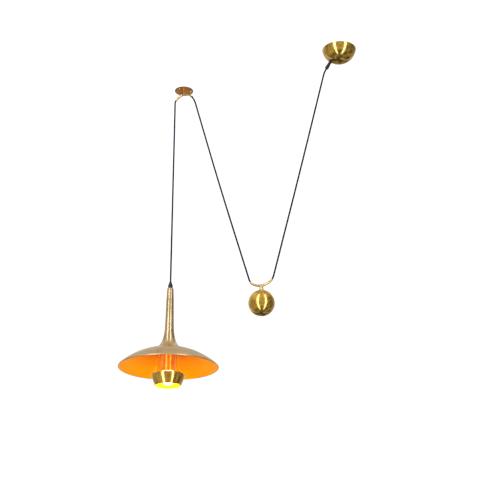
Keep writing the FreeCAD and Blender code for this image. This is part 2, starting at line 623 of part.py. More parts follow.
def make_weight():
    centre = ("-weightReach", "0", f"-{SADDLE_CENTRE}")
    keep("saddle_tube", bent(
        "SaddleTube", "saddleBend", "tubeWidth", "tubeBore", "2*saddleHalfAngle", "180", centre))
    keep("cord_in_saddle_tube", bent(
        "CordInSaddle", "saddleBend", "cordWidth", None, "2*saddleHalfAngle", "180", centre))
    for number, side in enumerate(("-", "+"), start=1):
        keep(f"saddle_bush_{number}", bent(
            f"SaddleBush{number}", "saddleBend", "tubeBore - 2*fitGap", f"2*{HOLE}", SADDLE_BUSH_ANGLE,
            f"180 {side} (saddleHalfAngle - {SADDLE_BUSH_ANGLE}/2)", centre))
    ball = ("-weightReach", "0", f"-{BALL_CENTRE}")
    foot = "sqrt((ballWidth/2)^2 - (neckFoot/2)^2)"
    waist = "(ballWidth/2 + neckHeight)"
    flare = f"((neckFoot/2 - neckTop/2)^2 + ({waist} - {foot})^2)/(neckFoot - neckTop)"
    stud_top = "(ballWidth/2 + studInNeck)"
    bar = turned("NeckBar", [
        ("studWidth/2 + fitGap", foot),
        ("neckFoot/2", foot, flare, -1),
        ("neckTop/2", waist),
        ("neckTop/2", f"{waist} + neckCup"),
        ("0", f"{waist} + neckCup"),
        ("0", f"{stud_top} + endGap"),
        ("studWidth/2 + fitGap", f"{stud_top} + endGap"),
    ], ball)
    seat = primitive("Torus", "NeckSeat", centre, roll="90",
                     Radius1="saddleBend", Radius2="tubeWidth/2 + seatGap")
    round_seat = primitive("Sphere", "NeckBallSeat", ball, Radius="ballWidth/2 + seatGap")
    keep("weight_neck", cut("Neck", bar, [seat, round_seat]))
    keep("weight_stud", primitive(
        "Cylinder", "Stud", ("-weightReach", "0", f"-{BALL_TOP} - studInBall"),
        Radius="studWidth/2", Height="studInBall + studInNeck"))
    hole = "(studWidth/2 + fitGap)"
    keep("weight_shell", turned("BallSkin", [
        (hole, f"sqrt((ballWidth/2)^2 - {hole}^2)", "ballWidth/2", -1),
        ("0", "-ballWidth/2"),
        ("0", "-ballWidth/2 + ballWall", "ballWidth/2 - ballWall", 1),
        (hole, f"sqrt((ballWidth/2 - ballWall)^2 - {hole}^2)"),
    ], ball))
    core = "(ballWidth/2 - ballWall - coreGap)"
    floor = "(ballWidth/2 - studInBall - endGap)"
    keep("weight_core", turned("BallCore", [
        (hole, f"sqrt({core}^2 - {hole}^2)", core, -1),
        ("0", f"-{core}"),
        ("0", floor),
        (hole, floor),
    ], ball))


# ---- The cord's free stretches, from points chosen along its centre line ----

def make_cords():
    """Each leg starts along the tube or grip that it leaves, passes one middle point and ends along the
    weight's tube."""
    width = measure("cordWidth")
    mouth = FreeCAD.Vector(-measure("hookReach") + measure(HOOK_MOUTH), 0, -measure(HOOK_MOUTH_DROP))
    slope = math.radians(measure("hookHalfAngle"))
    away = FreeCAD.Vector(math.cos(slope), 0, -math.sin(slope))
    rise = math.radians(measure("saddleHalfAngle"))
    saddle_drop = -measure(SADDLE_MOUTH_DROP)
    left = FreeCAD.Vector(-measure("weightReach") - measure(SADDLE_MOUTH), 0, saddle_drop)
    right = FreeCAD.Vector(-measure("weightReach") + measure(SADDLE_MOUTH), 0, saddle_drop)
    corner = measure("saddleLead")
    tube_along("cord_hook_leg", [
        mouth,
        mouth + away * measure("hookLegLead"),
        between(mouth, left, measure("hookLegBow")),
        left + FreeCAD.Vector(-math.cos(rise), 0, math.sin(rise)) * corner,
        left,
    ], width)
    tilt = math.radians(measure("gripTilt"))
    down = FreeCAD.Vector(-math.sin(tilt), 0, -math.cos(tilt))
    grip = FreeCAD.Vector(0, 0, measure(DOME_LIFT)) + down * measure(f"{GRIP_SEAT} + gripLength")
    tube_along("cord_canopy_leg", [
        grip,
        grip + down * measure("canopyLegLead"),
        between(grip, right, measure("canopyLegBow")),
        right + FreeCAD.Vector(math.cos(rise), 0, math.sin(rise)) * corner,
        right,
    ], width)
    keep("cord_lamp_drop", primitive(
        "Cylinder", "CordLampDrop", (f"-{LAMP_REACH}", "0", "-lampDrop"),
        Radius="cordWidth/2", Height=f"lampDrop - {PIVOT_DROP}"))
    print("lamp axis", round(-measure(LAMP_REACH), 3), "swing pivot", round(-measure(PIVOT_DROP), 3))
    print("upper exits", mouth, grip, "lower exits", left, right)


# ---- Lamp ----

def make_lamp_grip():
    at = (f"-{LAMP_REACH}", "0", f"-{STEM_TOP}")
    keep("lamp_cord_grip", turned("LampGrip", [
        ("rodWidth/2 + fitGap", "0"),
        ("lampGripFoot/2", "0"),
        ("lampGripFoot/2", "lampGripLength - lampGripTaper"),
        ("lampGripTip/2", "lampGripLength"),
        (HOLE, "lampGripLength"),
        (HOLE, "rodInGrip + endGap"),
        ("rodWidth/2 + fitGap", "rodInGrip + endGap"),
    ], at))
    keep("threaded_rod", turned("Rod", [
        ("rodBore/2", "rodInGrip"),
        ("rodWidth/2", "rodInGrip"),
        ("rodWidth/2", f"-({ROD_END} - {STEM_TOP})"),
        ("rodBore/2", f"-({ROD_END} - {STEM_TOP})"),
    ], at))
    keep("cord_in_stem", primitive(
        "Cylinder", "CordInStem", (f"-{LAMP_REACH}", "0", f"-{ROD_END}"),
        Radius="cordWidth/2", Height=f"{ROD_END} - lampDrop"))


def stem_radius(height, tall):
    """Outside radius of the stem at a height above its foot: a body that widens slowly from the
    shoulder and a flare that falls away from the foot."""
    top = measure("stemTop") / 2
    waist = measure("stemWaist") / 2
    foot = measure("stemFoot") / 2
    body = waist - (waist - top) * math.exp(-(tall - height) / measure("stemGrowth"))
    flare = (foot - waist) * math.exp(-height / measure("stemFlare"))
    return body + flare


def make_stem():
    wall = measure("stemWall")
    top = -measure(STEM_TOP)
    shoulder = top - measure("stemShoulder")
    foot = -measure(FOOT_DROP)
    tall = shoulder - foot
    steps = 32
    heights = [tall * (1 - math.cos(math.pi / 2 * step / steps)) for step in range(steps + 1)]
    outer = [FreeCAD.Vector(stem_radius(height, tall), 0, foot + height) for height in heights]
    inner = [spot - FreeCAD.Vector(wall, 0, 0) for spot in outer]
    outside = Part.BSplineCurve()
    outside.interpolate(outer)
    inside = Part.BSplineCurve()
    inside.interpolate(inner)
    hole = measure("rodWidth/2 + fitGap")
    corners = [
        outer[-1],
        FreeCAD.Vector(measure("stemLip") / 2, 0, top),
        FreeCAD.Vector(hole, 0, top),
        FreeCAD.Vector(hole, 0, shoulder),
        inner[-1],
    ]
    edges = [outside.toShape()]
    edges += [Part.LineSegment(first, last).toShape() for first, last in zip(corners, corners[1:])]
    edges += [inside.toShape(), Part.LineSegment(inner[0], outer[0]).toShape()]
    profile = Part.Face(Part.Wire(Part.__sortEdges__(edges)))
    thing = doc.addObject("Part::Feature", "Stem")
    thing.Shape = profile.revolve(FreeCAD.Vector(0, 0, 0), FreeCAD.Vector(0, 0, 1), 360)
    thing.Placement = FreeCAD.Placement(FreeCAD.Vector(-measure(LAMP_REACH), 0, 0), FreeCAD.Rotation())
    keep("stem", thing)


def make_shade():
    """Two tangent arcs: a wide cap and a tight edge that ends upright at the rim."""
    at = (f"-{LAMP_REACH}", "0", f"-{SHADE_TOP} - shadeHeight")
    drop = f"({CAP_RADIUS} - shadeHeight)"
    across = f"({CAP_BASE}/({CAP_RADIUS} - shadeEdge))"
    up = f"({drop}/({CAP_RADIUS} - shadeEdge))"
    hole = "(rodWidth/2 + fitGap)"
    inner = f"({CAP_RADIUS} - shadeWall)"
    keep("shade", turned("ShadeShell", [
        ("shadeWidth/2 - shadeWall", "0"),
        ("shadeWidth/2", "0", "shadeEdge", 1),
        (f"{CAP_RADIUS}*{across}", f"{CAP_RADIUS}*{up} - {drop}", CAP_RADIUS, 1),
        (hole, f"sqrt({CAP_RADIUS}^2 - {hole}^2) - {drop}"),
        (hole, f"sqrt({inner}^2 - {hole}^2) - {drop}", inner, -1),
        (f"{inner}*{across}", f"{inner}*{up} - {drop}", "shadeEdge - shadeWall", -1),
    ], at))


def make_carrier():
    at = (f"-{LAMP_REACH}", "0")
    hole = "rodWidth/2 + fitGap"
    for label, name, width, high, low in (
            ("shade_washer", "Washer", "washerWidth", WASHER_TOP, CARRIER_TOP),
            ("rod_carrier", "Carrier", "carrierWidth", CARRIER_TOP, SLEEVE_TOP)):
        keep(label, turned(name, [
            (hole, "0"),
            (f"{width}/2", "0"),
            (f"{width}/2", f"{low} - {high}"),
            (hole, f"{low} - {high}"),
        ], at + (f"-{low}",)))
    keep("socket_tube", turned("Sleeve", [
        (hole, "0"),
        (hole, "-sleeveWall"),
        ("sleeveWidth/2 - sleeveWall", "-sleeveWall"),
        ("sleeveWidth/2 - sleeveWall", "-sleeveHeight"),
        ("sleeveWidth/2", "-sleeveHeight"),
        ("sleeveWidth/2", "0"),
    ], at + (f"-{SLEEVE_TOP}",)))
    hexagon = doc.addObject("Part::Prism", "LockNutHexagon")
    hexagon.Polygon = 6
    hexagon.setExpression("Circumradius", bound("lockNut/2"))
    hexagon.setExpression("Height", bound("lockNutHeight"))
    place(hexagon, at + (f"-{HOLDER_TOP}",))
    thread = primitive("Cylinder", "LockNutThread", at + (f"-{HOLDER_TOP}",),
                       Radius=hole, Height="lockNutHeight")
    keep("lock_nut", cut("LockNutRing", hexagon, [thread]))


def make_lampholder():
    at = (f"-{LAMP_REACH}", "0")
    keep("holder_cap", turned("HolderCap", [
        ("rodWidth/2 + fitGap", "0"),
        ("holderCapWidth/2", "0"),
        ("holderCapWidth/2", "-holderCapHeight"),
        ("holderCapWidth/2 - holderWall", "-holderCapHeight"),
        ("holderCapWidth/2 - holderWall", "-holderWall"),
        ("rodWidth/2 + fitGap", "-holderWall"),
    ], at + (f"-{HOLDER_TOP}",)))
    keep("holder_body", turned("HolderBody", [
        ("0", "-holderBaseDrop"),
        ("0", "-holderBaseDrop - holderBase"),
        ("shellWidth/2 + fitGap", "-holderBaseDrop - holderBase"),
        ("shellWidth/2 + fitGap", "-holderBodyHeight"),
        ("holderWidth/2", "-holderBodyHeight"),
        ("holderWidth/2", "0"),
        ("holderCapWidth/2 - holderWall", "0"),
        ("holderCapWidth/2 - holderWall", "-holderBaseDrop"),
    ], at + (f"-{HOLDER_BODY}",)))
    keep("holder_shell", turned("HolderShell", [
        ("shellWidth/2 - shellWall", "0"),
        ("shellWidth/2", "0"),
        ("shellWidth/2", "-shellHeight"),
        ("shellWidth/2 - shellWall", "-shellHeight"),
    ], at + (f"-{BASE_TOP} - holderBase",)))
    keep("holder_contact", primitive("Cylinder", "HolderContact", at + (f"-{BULB_TOP}",),
                                     Radius="contactWidth/2", Height="contactHeight"))
    middle = FreeCAD.Vector(-measure(LAMP_REACH), 0, 0)
    lead = FreeCAD.Vector(0, 0, measure("lampCoreLead"))
    for number, side in enumerate((-1, 1), start=1):
        start = middle + FreeCAD.Vector(side * measure("coreSpread"), 0, -measure(ROD_END))
        end = middle + FreeCAD.Vector(side * measure("lampCoreSpread"), 0, -measure(BASE_TOP))
        tube_along(f"lamp_wire_{number}", [start, start - lead, end + lead, end], measure("wireWidth"))


def make_bulb():
    """A cone from the neck touches the round end of the glass."""
    at = (f"-{LAMP_REACH}", "0")
    neck = "(bulbCapWidth/2 - bulbWall - boreGap)"
    rise = f"({BULB_CENTRE} - {BULB_CAP_END})"
    slant = f"sqrt({neck}^2 + {rise}^2)"
    touch = f"(atan({neck}/{rise}) + acos(bulbWidth/2/{slant}))"
    inner = "(bulbWidth/2 - bulbWall)"
    inner_neck = f"({neck} - bulbWall/sin({touch}))"
    keep("bulb_globe", turned("BulbGlass", [
        ("0", "-bulbWidth/2", "bulbWidth/2", 1),
        (f"bulbWidth/2*sin({touch})", f"bulbWidth/2*cos({touch})"),
        (neck, rise),
        (neck, f"{rise} + bulbNeck"),
        (inner_neck, f"{rise} + bulbNeck"),
        (inner_neck, rise),
        (f"{inner}*sin({touch})", f"{inner}*cos({touch})", inner, -1),
        ("0", f"-{inner}"),
    ], at + (f"-{BULB_CENTRE}",)))
    keep("bulb_cap", turned("BulbCap", [
        ("bulbContact/2", "0"),
        ("bulbCapWidth/2", "-bulbCapSlope"),
        ("bulbCapWidth/2", "-bulbCapHeight"),
        ("bulbCapWidth/2 - bulbWall", "-bulbCapHeight"),
        ("bulbCapWidth/2 - bulbWall", "-bulbCapSlope - bulbWall"),
        ("bulbContact/2", "-bulbWall"),
    ], at + (f"-{BULB_CAP_TOP}",)))
    keep("bulb_contact", primitive(
        "Cylinder", "BulbContact", at + (f"-{BULB_CAP_TOP} - bulbContactInCap",),
        Radius="bulbContact/2", Height="bulbContactHeight + bulbContactInCap"))


def make_cup():
    at = (f"-{LAMP_REACH}", "0", f"-{CUP_TOP}")
    keep("reflector_cup", turned("Cup", [
        ("cupFoot/2 - cupWall", "-cupHeight"),
        ("cupFoot/2", "-cupHeight", "cupBulge", 1),
        ("cupTop/2", "0"),
        ("cupTop/2 - cupWall", "0", "cupBulge", -1),
    ], at))
    fall = f"({CUP_TOP} - {SLEEVE_TOP})"
    near = "(cupTop/2 - cupWall - cupRodGap - cupRodWidth/2)"
    lean = f"atan(({near} - rodCircle/2)/{fall})"
    length = f"({fall}/cos({lean}))"
    reach = f"({near} - cupRodWidth/2*(1/cos({lean}) - 1))"
    ceiling = primitive("Cylinder", "RodTrim", (f"-{LAMP_REACH}", "0", f"-{SLEEVE_TOP}"),
                        Radius="carrierWidth", Height="cupRodWidth + 2*cutPast")
    for number in range(3):
        turn = f"{120 * number}"
        end = (f"-{LAMP_REACH} + {reach}*cos({turn})", f"{reach}*sin({turn})", f"-{CUP_TOP}")
        bar = primitive("Cylinder", f"CupRodBar{number + 1}", end, yaw=turn, pitch=f"-({lean})",
                        Radius="cupRodWidth/2", Height=f"{length} + cupRodWidth")
        keep(f"cup_rod_{number + 1}", cut(f"CupRod{number + 1}", bar, [ceiling]))


make_bracket()
make_dome()
make_canopy_grip()
make_terminal_block()
make_canopy_wires()
make_hook()
make_weight()
make_cords()
make_lamp_grip()
make_stem()
make_shade()
make_carrier()
make_lampholder()
make_bulb()
make_cup()

doc.recompute()
failed = [thing.Name for thing in doc.Objects if "Invalid" in thing.State or "Error" in thing.State]
failed += [thing.Label for thing in pieces if thing.Shape.isNull() or not thing.Shape.isValid()]
if failed:
    raise SystemExit("not built: " + ", ".join(failed))

os.makedirs("parts", exist_ok=True)
for thing in pieces:
    thing.Shape.exportStep(f"parts/{thing.Label}.step")
print(len(pieces), "pieces written")
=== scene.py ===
import json
from math import acos, asin, atan2, cos, degrees, pi, radians, sin, sqrt, tan

import bmesh
import bpy
import numpy as np
from mathutils import Matrix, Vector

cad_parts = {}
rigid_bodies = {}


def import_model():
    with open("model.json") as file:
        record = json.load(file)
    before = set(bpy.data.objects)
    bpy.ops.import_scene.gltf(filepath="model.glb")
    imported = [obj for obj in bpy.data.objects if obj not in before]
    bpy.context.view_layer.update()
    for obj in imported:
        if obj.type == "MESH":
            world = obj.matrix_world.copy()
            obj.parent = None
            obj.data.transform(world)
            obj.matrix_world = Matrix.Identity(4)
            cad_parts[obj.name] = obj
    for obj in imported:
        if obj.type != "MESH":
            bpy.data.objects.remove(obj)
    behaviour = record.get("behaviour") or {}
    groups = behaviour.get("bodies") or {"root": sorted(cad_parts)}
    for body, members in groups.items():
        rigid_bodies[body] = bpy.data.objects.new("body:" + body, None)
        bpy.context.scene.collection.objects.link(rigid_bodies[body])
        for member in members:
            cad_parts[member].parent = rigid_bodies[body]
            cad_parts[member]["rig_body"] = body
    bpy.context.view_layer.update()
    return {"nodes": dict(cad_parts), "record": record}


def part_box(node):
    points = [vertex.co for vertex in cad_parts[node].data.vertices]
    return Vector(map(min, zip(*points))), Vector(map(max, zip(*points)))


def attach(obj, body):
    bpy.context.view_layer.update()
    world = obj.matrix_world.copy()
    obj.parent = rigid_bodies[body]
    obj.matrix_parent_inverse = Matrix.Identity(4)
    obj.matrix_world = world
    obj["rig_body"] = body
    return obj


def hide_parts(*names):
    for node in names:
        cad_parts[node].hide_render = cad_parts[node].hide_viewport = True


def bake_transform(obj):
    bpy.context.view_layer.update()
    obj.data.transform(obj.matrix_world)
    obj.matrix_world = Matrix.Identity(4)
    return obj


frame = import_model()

# A rise-and-fall pendant lamp. Sizes in this file are millimetres and become metres as a mesh is
# written. The middle of the canopy on the ceiling is the origin, and the cord lies in the plane y = 0.
mm = 0.001
lampAxis = -777.001
hookAxis = -733.0
weightAxis = -362.5
nodes = frame["nodes"]


camera = {
    "place": (1.3562, -3.5187, -2.3308),
    "lookUp": 21.713,
    "turn": 27.2575,
    "lens": 79.55,
}
lens = bpy.data.cameras.new("photoLens")
lens.sensor_width = 36
lens.lens = camera["lens"]
lens.clip_end = 200
photoCamera = bpy.data.objects.new("photoCamera", lens)
photoCamera.matrix_world = (
    Matrix.Translation(camera["place"])
    @ Matrix.Rotation(radians(camera["turn"]), 4, "Z")
    @ Matrix.Rotation(radians(90 + camera["lookUp"]), 4, "X")
)
bpy.context.scene.collection.objects.link(photoCamera)
bpy.context.scene.camera = photoCamera
bpy.context.scene.view_settings.view_transform = "Standard"


# One output of a material's nodes. Arithmetic on signals adds the Math nodes that work it out.
class Signal:
    def __init__(self, finish, socket):
        self.finish = finish
        self.socket = socket

    def maths(self, operation, first, second):
        return self.finish.add("ShaderNodeMath", {"operation": operation}, {0: first, 1: second})

    def __add__(self, other):
        return self.maths("ADD", self, other)

    def __radd__(self, other):
        return self.maths("ADD", other, self)

    def __sub__(self, other):
        return self.maths("SUBTRACT", self, other)

    def __rsub__(self, other):
        return self.maths("SUBTRACT", other, self)

    def __mul__(self, other):
        return self.maths("MULTIPLY", self, other)

    def __rmul__(self, other):
        return self.maths("MULTIPLY", other, self)

    def __pow__(self, other):
        return self.maths("POWER", self, other)


# A tree of shader nodes. add() makes a node: its settings first, then the values or links of its inputs.
class Finish:
    def __init__(self, owner):
        owner.use_nodes = True
        self.owner = owner
        self.tree = owner.node_tree
        self.tree.nodes.clear()

    def add(self, kind, settings=None, inputs=None, output=0):
        made = self.tree.nodes.new(kind)
        for key, value in (settings or {}).items():
            setattr(made, key, value)
        for key, value in (inputs or {}).items():
            if isinstance(value, Signal):
                self.tree.links.new(value.socket, made.inputs[key])
            else:
                made.inputs[key].default_value = value
        if output is None:
            return [Signal(self, socket) for socket in made.outputs]
        return Signal(self, made.outputs[output])

    def mixed(self, share, first, second):
        return self.add("ShaderNodeMix", {"data_type": "RGBA"}, {0: share, 6: first, 7: second}, 2)

    def noise(self, where, scale, detail=2.0):
        return self.add("ShaderNodeTexNoise", None, {"Vector": where, "Scale": scale, "Detail": detail})

    def maximum(self, *values):
        largest = values[0]
        for value in values[1:]:
            largest = self.add("ShaderNodeMath", {"operation": "MAXIMUM"}, {0: largest, 1: value})
        return largest

    def smooth(self, value, low, high):
        return self.add("ShaderNodeMapRange", {"interpolation_type": "SMOOTHSTEP"},
                        {"Value": value, "From Min": low, "From Max": high})

    def bump(self, height, depth):
        return self.add("ShaderNodeBump", None, {"Height": height, "Distance": depth, "Strength": 1.0})

    def surface(self, inputs):
        shader = self.add("ShaderNodeBsdfPrincipled", None, inputs)
        self.add("ShaderNodeOutputMaterial", None, {"Surface": shader}, None)
        return self.owner


def newFinish(name):
    return Finish(bpy.data.materials.new(name))


# Spun or turned brass: fine lathe lines follow the distance from the axis and the height, and a slow
# cloud of handling marks changes its colour and gloss. The inside attribute turns it to a warm lacquer
# colour that is also painted glow of the bulb, from the crown's colour to the rim's colour.
def turnedBrass(name, look):
    finish = newFinish(name)
    place = finish.add("ShaderNodeTexCoord", output=3)
    centred = finish.add("ShaderNodeVectorMath", {"operation": "SUBTRACT"},
                         {0: place, 1: (look["axis"] * mm, 0, 0)})
    x, y, z = finish.add("ShaderNodeSeparateXYZ", None, {0: centred}, None)
    radius = (x * x + y * y) ** 0.5
    ring = finish.add("ShaderNodeCombineXYZ", None, {0: radius, 1: z, 2: (x + y) * 0.02})
    lines = finish.noise(ring, look["grain"], 3.0)
    cloud = finish.noise(centred, look["cloud"], 3.0)
    spots = finish.smooth(finish.noise(centred, 120.0, 2.0), 0.60, 0.74)
    colour = finish.mixed(finish.smooth(cloud, 0.35, 0.7), look["light"], look["deep"])
    colour = finish.mixed(spots * 0.10, colour, look["tarnish"])
    # The colour darkens towards the outer edge, between the two radii that rim gives.
    if look.get("rim"):
        colour = finish.mixed(finish.smooth(radius, *look["rim"]) * 0.85, colour, look["tarnish"])
    rough = look["rough"] + (lines - 0.5) * look["lineGloss"] + (cloud - 0.5) * 0.08
    if look.get("inside"):
        inside = finish.add("ShaderNodeAttribute", {"attribute_name": "inside"}, None, 2)
        # Painted glow of the bulb on the inside: the colour goes from inside at the crown to insideRim at
        # the rim, and on the shade the crown is darker as painted shade.
        lacquerAndGlow = finish.mixed(finish.smooth(radius, 0.03, 0.20), look["inside"], look["insideRim"])
        colour = finish.mixed(inside, colour, lacquerAndGlow)
        rough = rough + inside * look["insideRough"]
        metal = 1.0 - inside * look["insideMatt"]
    else:
        metal = look.get("metal", 1.0)
    return finish.surface({
        "Base Color": colour,
        "Metallic": metal,
        "Roughness": rough,
        "Specular IOR Level": 0.1,
        "Normal": finish.bump(lines, look["lineDepth"]),
    })


polishedLook = {
    "axis": 0.0, "grain": 900.0, "cloud": 22.0, "rough": 0.16, "lineGloss": 0.03, "lineDepth": 0.000003,
    "light": (0.80, 0.50, 0.105, 1), "deep": (0.58, 0.33, 0.05, 1), "tarnish": (0.20, 0.09, 0.02, 1),
}
stemLook = dict(
    polishedLook, axis=lampAxis, rough=0.25, lineGloss=0.02, lineDepth=0.000001,
    light=(0.70, 0.50, 0.25, 1), deep=(0.56, 0.38, 0.16, 1))
# A paler copy of the brass for the thin tubes, the post and the weight's neck, as painted highlight.
paleHighlightLook = dict(polishedLook, rough=0.24, light=(0.86, 0.65, 0.27, 1), deep=(0.70, 0.48, 0.16, 1))
# The shade's inside colours are painted glow of the bulb: darker orange at the crown as painted shade,
# lighter towards the rim.
satinLook = dict(
    polishedLook, axis=lampAxis, rough=0.30, lineGloss=0.08, lineDepth=0.000006, grain=700.0,
    light=(0.72, 0.52, 0.26, 1), deep=(0.60, 0.41, 0.17, 1),
    inside=(0.74, 0.14, 0.001, 1), insideRim=(0.98, 0.38, 0.001, 1), insideRough=0.12, insideMatt=0.4)
plateLook = dict(
    polishedLook, axis=hookAxis, rough=0.2, cloud=55.0, rim=(0.0365, 0.0385),
    light=(0.98, 0.48, 0.13, 1), deep=(0.62, 0.22, 0.04, 1))
# The socket tube and the rods: amber brass whose red-orange colour is painted reflection of the shade's lit
# orange inside.
tubeGlowLook = dict(
    polishedLook, axis=lampAxis, rough=0.18, metal=0.5,
    light=(1.0, 0.34, 0.02, 1), deep=(0.90, 0.20, 0.01, 1), tarnish=(0.30, 0.04, 0.01, 1))


# Moulded or plated parts: an even colour with a fine grain in the gloss and a slight unevenness.
def plainFinish(name, colour, rough, metal=0.0, grain=600.0, depth=0.00001):
    finish = newFinish(name)
    place = finish.add("ShaderNodeTexCoord", output=3)
    fine = finish.noise(place, grain, 3.0)
    slow = finish.noise(place, 60.0)
    darker = tuple(0.72 * part for part in colour) + (1,)
    return finish.surface({
        "Base Color": finish.mixed(finish.smooth(slow, 0.35, 0.75) * 0.6, colour + (1,), darker),
        "Metallic": metal,
        "Roughness": rough + (fine - 0.5) * 0.16,
        "Normal": finish.bump(fine, depth),
    })


# Braided textile over the cord: two sets of strands wind round it in opposite senses and pass over and
# under each other, from the piece's own UV map: U once round, V in metres along.
braid = {"strands": 8.0, "girth": pi * 0.006}


def braidFinish(name, mapped):
    finish = newFinish(name)
    if mapped:
        u, v = finish.add(
            "ShaderNodeSeparateXYZ", None, {0: finish.add("ShaderNodeTexCoord", output=2)}, None)[:2]
        around = u * braid["strands"]
        along = v * (braid["strands"] / braid["girth"])
        right = finish.add("ShaderNodeMath", {"operation": "SINE"}, {0: (around + along) * (2 * pi)})
        left = finish.add("ShaderNodeMath", {"operation": "SINE"}, {0: (around - along) * (2 * pi)})
        weave = finish.smooth(right * left, -0.8, 0.8)
    else:
        weave = finish.noise(finish.add("ShaderNodeTexCoord", output=3), 1400.0, 3.0)
    fleck = finish.noise(finish.add("ShaderNodeTexCoord", output=3), 2600.0, 2.0)
    dark = finish.mixed(weave, (0.001, 0.001, 0.002, 1), (0.007, 0.007, 0.009, 1))
    return finish.surface({
        "Base Color": finish.mixed(finish.smooth(fleck, 0.62, 0.75) * 0.4, dark, (0.05, 0.05, 0.07, 1)),
        "Roughness": 0.70 + (weave - 0.5) * 0.2,
        "Specular IOR Level": 0.03,
        "Normal": finish.bump(weave, 0.0003),
    })


# Opal glass, lit from within: pale low down and warmer towards its neck, between two heights in metres.
opal = {"pale": -1.300, "warm": -1.240, "glow": 2.6}


def opalFinish(name):
    finish = newFinish(name)
    z = finish.add("ShaderNodeSeparateXYZ", None, {0: finish.add("ShaderNodeTexCoord", output=3)}, 2)
    warmth = finish.smooth(z, opal["pale"], opal["warm"])
    cloud = finish.noise(finish.add("ShaderNodeTexCoord", output=3), 45.0)
    return finish.surface({
        "Base Color": (0.95, 0.93, 0.88, 1),
        "Roughness": 0.18 + cloud * 0.08,
        "Emission Color": finish.mixed(warmth, (1.0, 0.90, 0.66, 1), (1.0, 0.72, 0.34, 1)),
        "Emission Strength": opal["glow"],
    })


brassForCanopy = turnedBrass("brassForCanopy", polishedLook)
brassForHook = turnedBrass("brassForHook", dict(polishedLook, axis=hookAxis))
brassForWeight = turnedBrass("brassForWeight", dict(polishedLook, axis=weightAxis, rough=0.20))
brassForLamp = turnedBrass("brassForLamp", dict(polishedLook, axis=lampAxis, rough=0.20))
brassForShade = turnedBrass("brassForShade", satinLook)
# The cup's outer brass is painted warmer for the orange light from the shade above it, and its yellow inside
# is painted glow of the bulb.
brassForCupWithPaintedGlow = turnedBrass("brassForCupWithPaintedGlow", dict(
    satinLook, rough=0.15, lineGloss=0.03, light=(0.86, 0.51, 0.10, 1), deep=(0.66, 0.34, 0.045, 1),
    inside=(1.0, 0.62, 0.02, 1), insideRim=(1.0, 0.60, 0.01, 1), insideRough=0.12, insideMatt=0.3))
brassForPlate = turnedBrass("brassForPlate", plateLook)
brassForStem = turnedBrass("brassForStem", stemLook)
brassForHookTubeHighlit = turnedBrass("brassForHookTubeHighlit", dict(paleHighlightLook, axis=hookAxis))
brassForSaddleHighlit = turnedBrass("brassForSaddleHighlit", dict(paleHighlightLook, axis=weightAxis))
amberAndGlowForTube = turnedBrass("amberAndGlowForTube", tubeGlowLook)
blackBraid = braidFinish("blackBraid", True)
slotFinish = {
    "polished_brass": brassForHook,
    "satin_brass": brassForLamp,
    "black_plastic": plainFinish("blackPlastic", (0.007, 0.007, 0.011), 0.50),
    "black_cord": braidFinish("blackBraidInside", False),
    "zinc_steel": plainFinish("zincSteel", (0.62, 0.63, 0.65), 0.34, 1.0),
    "bright_nickel": plainFinish("brightNickel", (0.86, 0.84, 0.86), 0.16, 1.0),
    "cast_iron_core": plainFinish("castIron", (0.09, 0.09, 0.095), 0.62, 0.7, 240.0, 0.0002),
    "white_nylon": plainFinish("whiteNylon", (0.86, 0.86, 0.83), 0.42),
    "brown_insulation": plainFinish("brownInsulation", (0.20, 0.09, 0.04), 0.40),
    "blue_insulation": plainFinish("blueInsulation", (0.04, 0.16, 0.55), 0.40),
    "green_insulation": plainFinish("greenInsulation", (0.20, 0.50, 0.08), 0.40),
    "contact_brass": plainFinish("contactBrass", (0.75, 0.58, 0.28), 0.30, 1.0),
    "bulb_cap_metal": plainFinish("bulbCapMetal", (0.78, 0.78, 0.78), 0.28, 1.0),
    "opal_glass": opalFinish("opalGlass"),
}
axisFinish = {"ceiling": brassForCanopy, "weight": brassForWeight, "lamp": brassForLamp}
for part in frame["record"]["subparts"]:
    node = nodes[part["node"]]
    finishName = part["material_slot"]
    material = slotFinish[finishName]
    if finishName.endswith("_brass") and finishName != "contact_brass":
        onHook = part["node"].startswith("hook")
        material = brassForHook if onHook else axisFinish.get(node["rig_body"], material)
    node.data.materials.clear()
    node.data.materials.append(material)
print("materials:", len(bpy.data.materials))


# A mesh from a grid of points whose columns close round on themselves. Rows at a pole or on a closed
# profile meet and are merged. V of the UV map is the distance along the rows, and U goes once round.
def gridPiece(name, points, along, material, inside=None, sharp=38):
    rows, columns = points.shape[:2]
    row = np.arange(rows - 1)[:, None] * columns
    column = np.arange(columns)[None, :]
    after = (column + 1) % columns
    faces = np.stack([row + column, row + after, row + after + columns, row + column + columns], -1)
    mesh = bpy.data.meshes.new(name)
    mesh.from_pydata((points.reshape(-1, 3) * mm).tolist(), [], faces.reshape(-1, 4).tolist())
    u = np.stack([column, column + 1, column + 1, column], -1) / columns * np.ones((rows - 1, 1, 1))
    v = np.stack([along[:-1], along[:-1], along[1:], along[1:]], -1)[:, None, :] * np.ones((1, columns, 1))
    mesh.uv_layers.new(name="UVMap").data.foreach_set("uv", np.stack([u, v * mm], -1).ravel())
    if inside is not None:
        layer = mesh.attributes.new("inside", "FLOAT", "POINT")
        layer.data.foreach_set("value", np.repeat(inside, columns).astype(np.float32))
    tidy = bmesh.new()
    tidy.from_mesh(mesh)
    bmesh.ops.remove_doubles(tidy, verts=tidy.verts, dist=1e-6)
    tidy.to_mesh(mesh)
    tidy.free()
    mesh.polygons.foreach_set("use_smooth", np.ones(len(mesh.polygons), bool))
    mesh.set_sharp_from_angle(angle=radians(sharp))
    mesh.materials.append(material)
    piece = bpy.data.objects.new(name, mesh)
    bpy.context.scene.collection.objects.link(piece)
    return piece


# Points on an arc, from one angle to another in degrees.
def arc(across, up, radius, start, end, steps):
    angle = np.radians(np.linspace(start, end, steps))
    return np.stack([across + radius * np.cos(angle), up + radius * np.sin(angle)], 1)


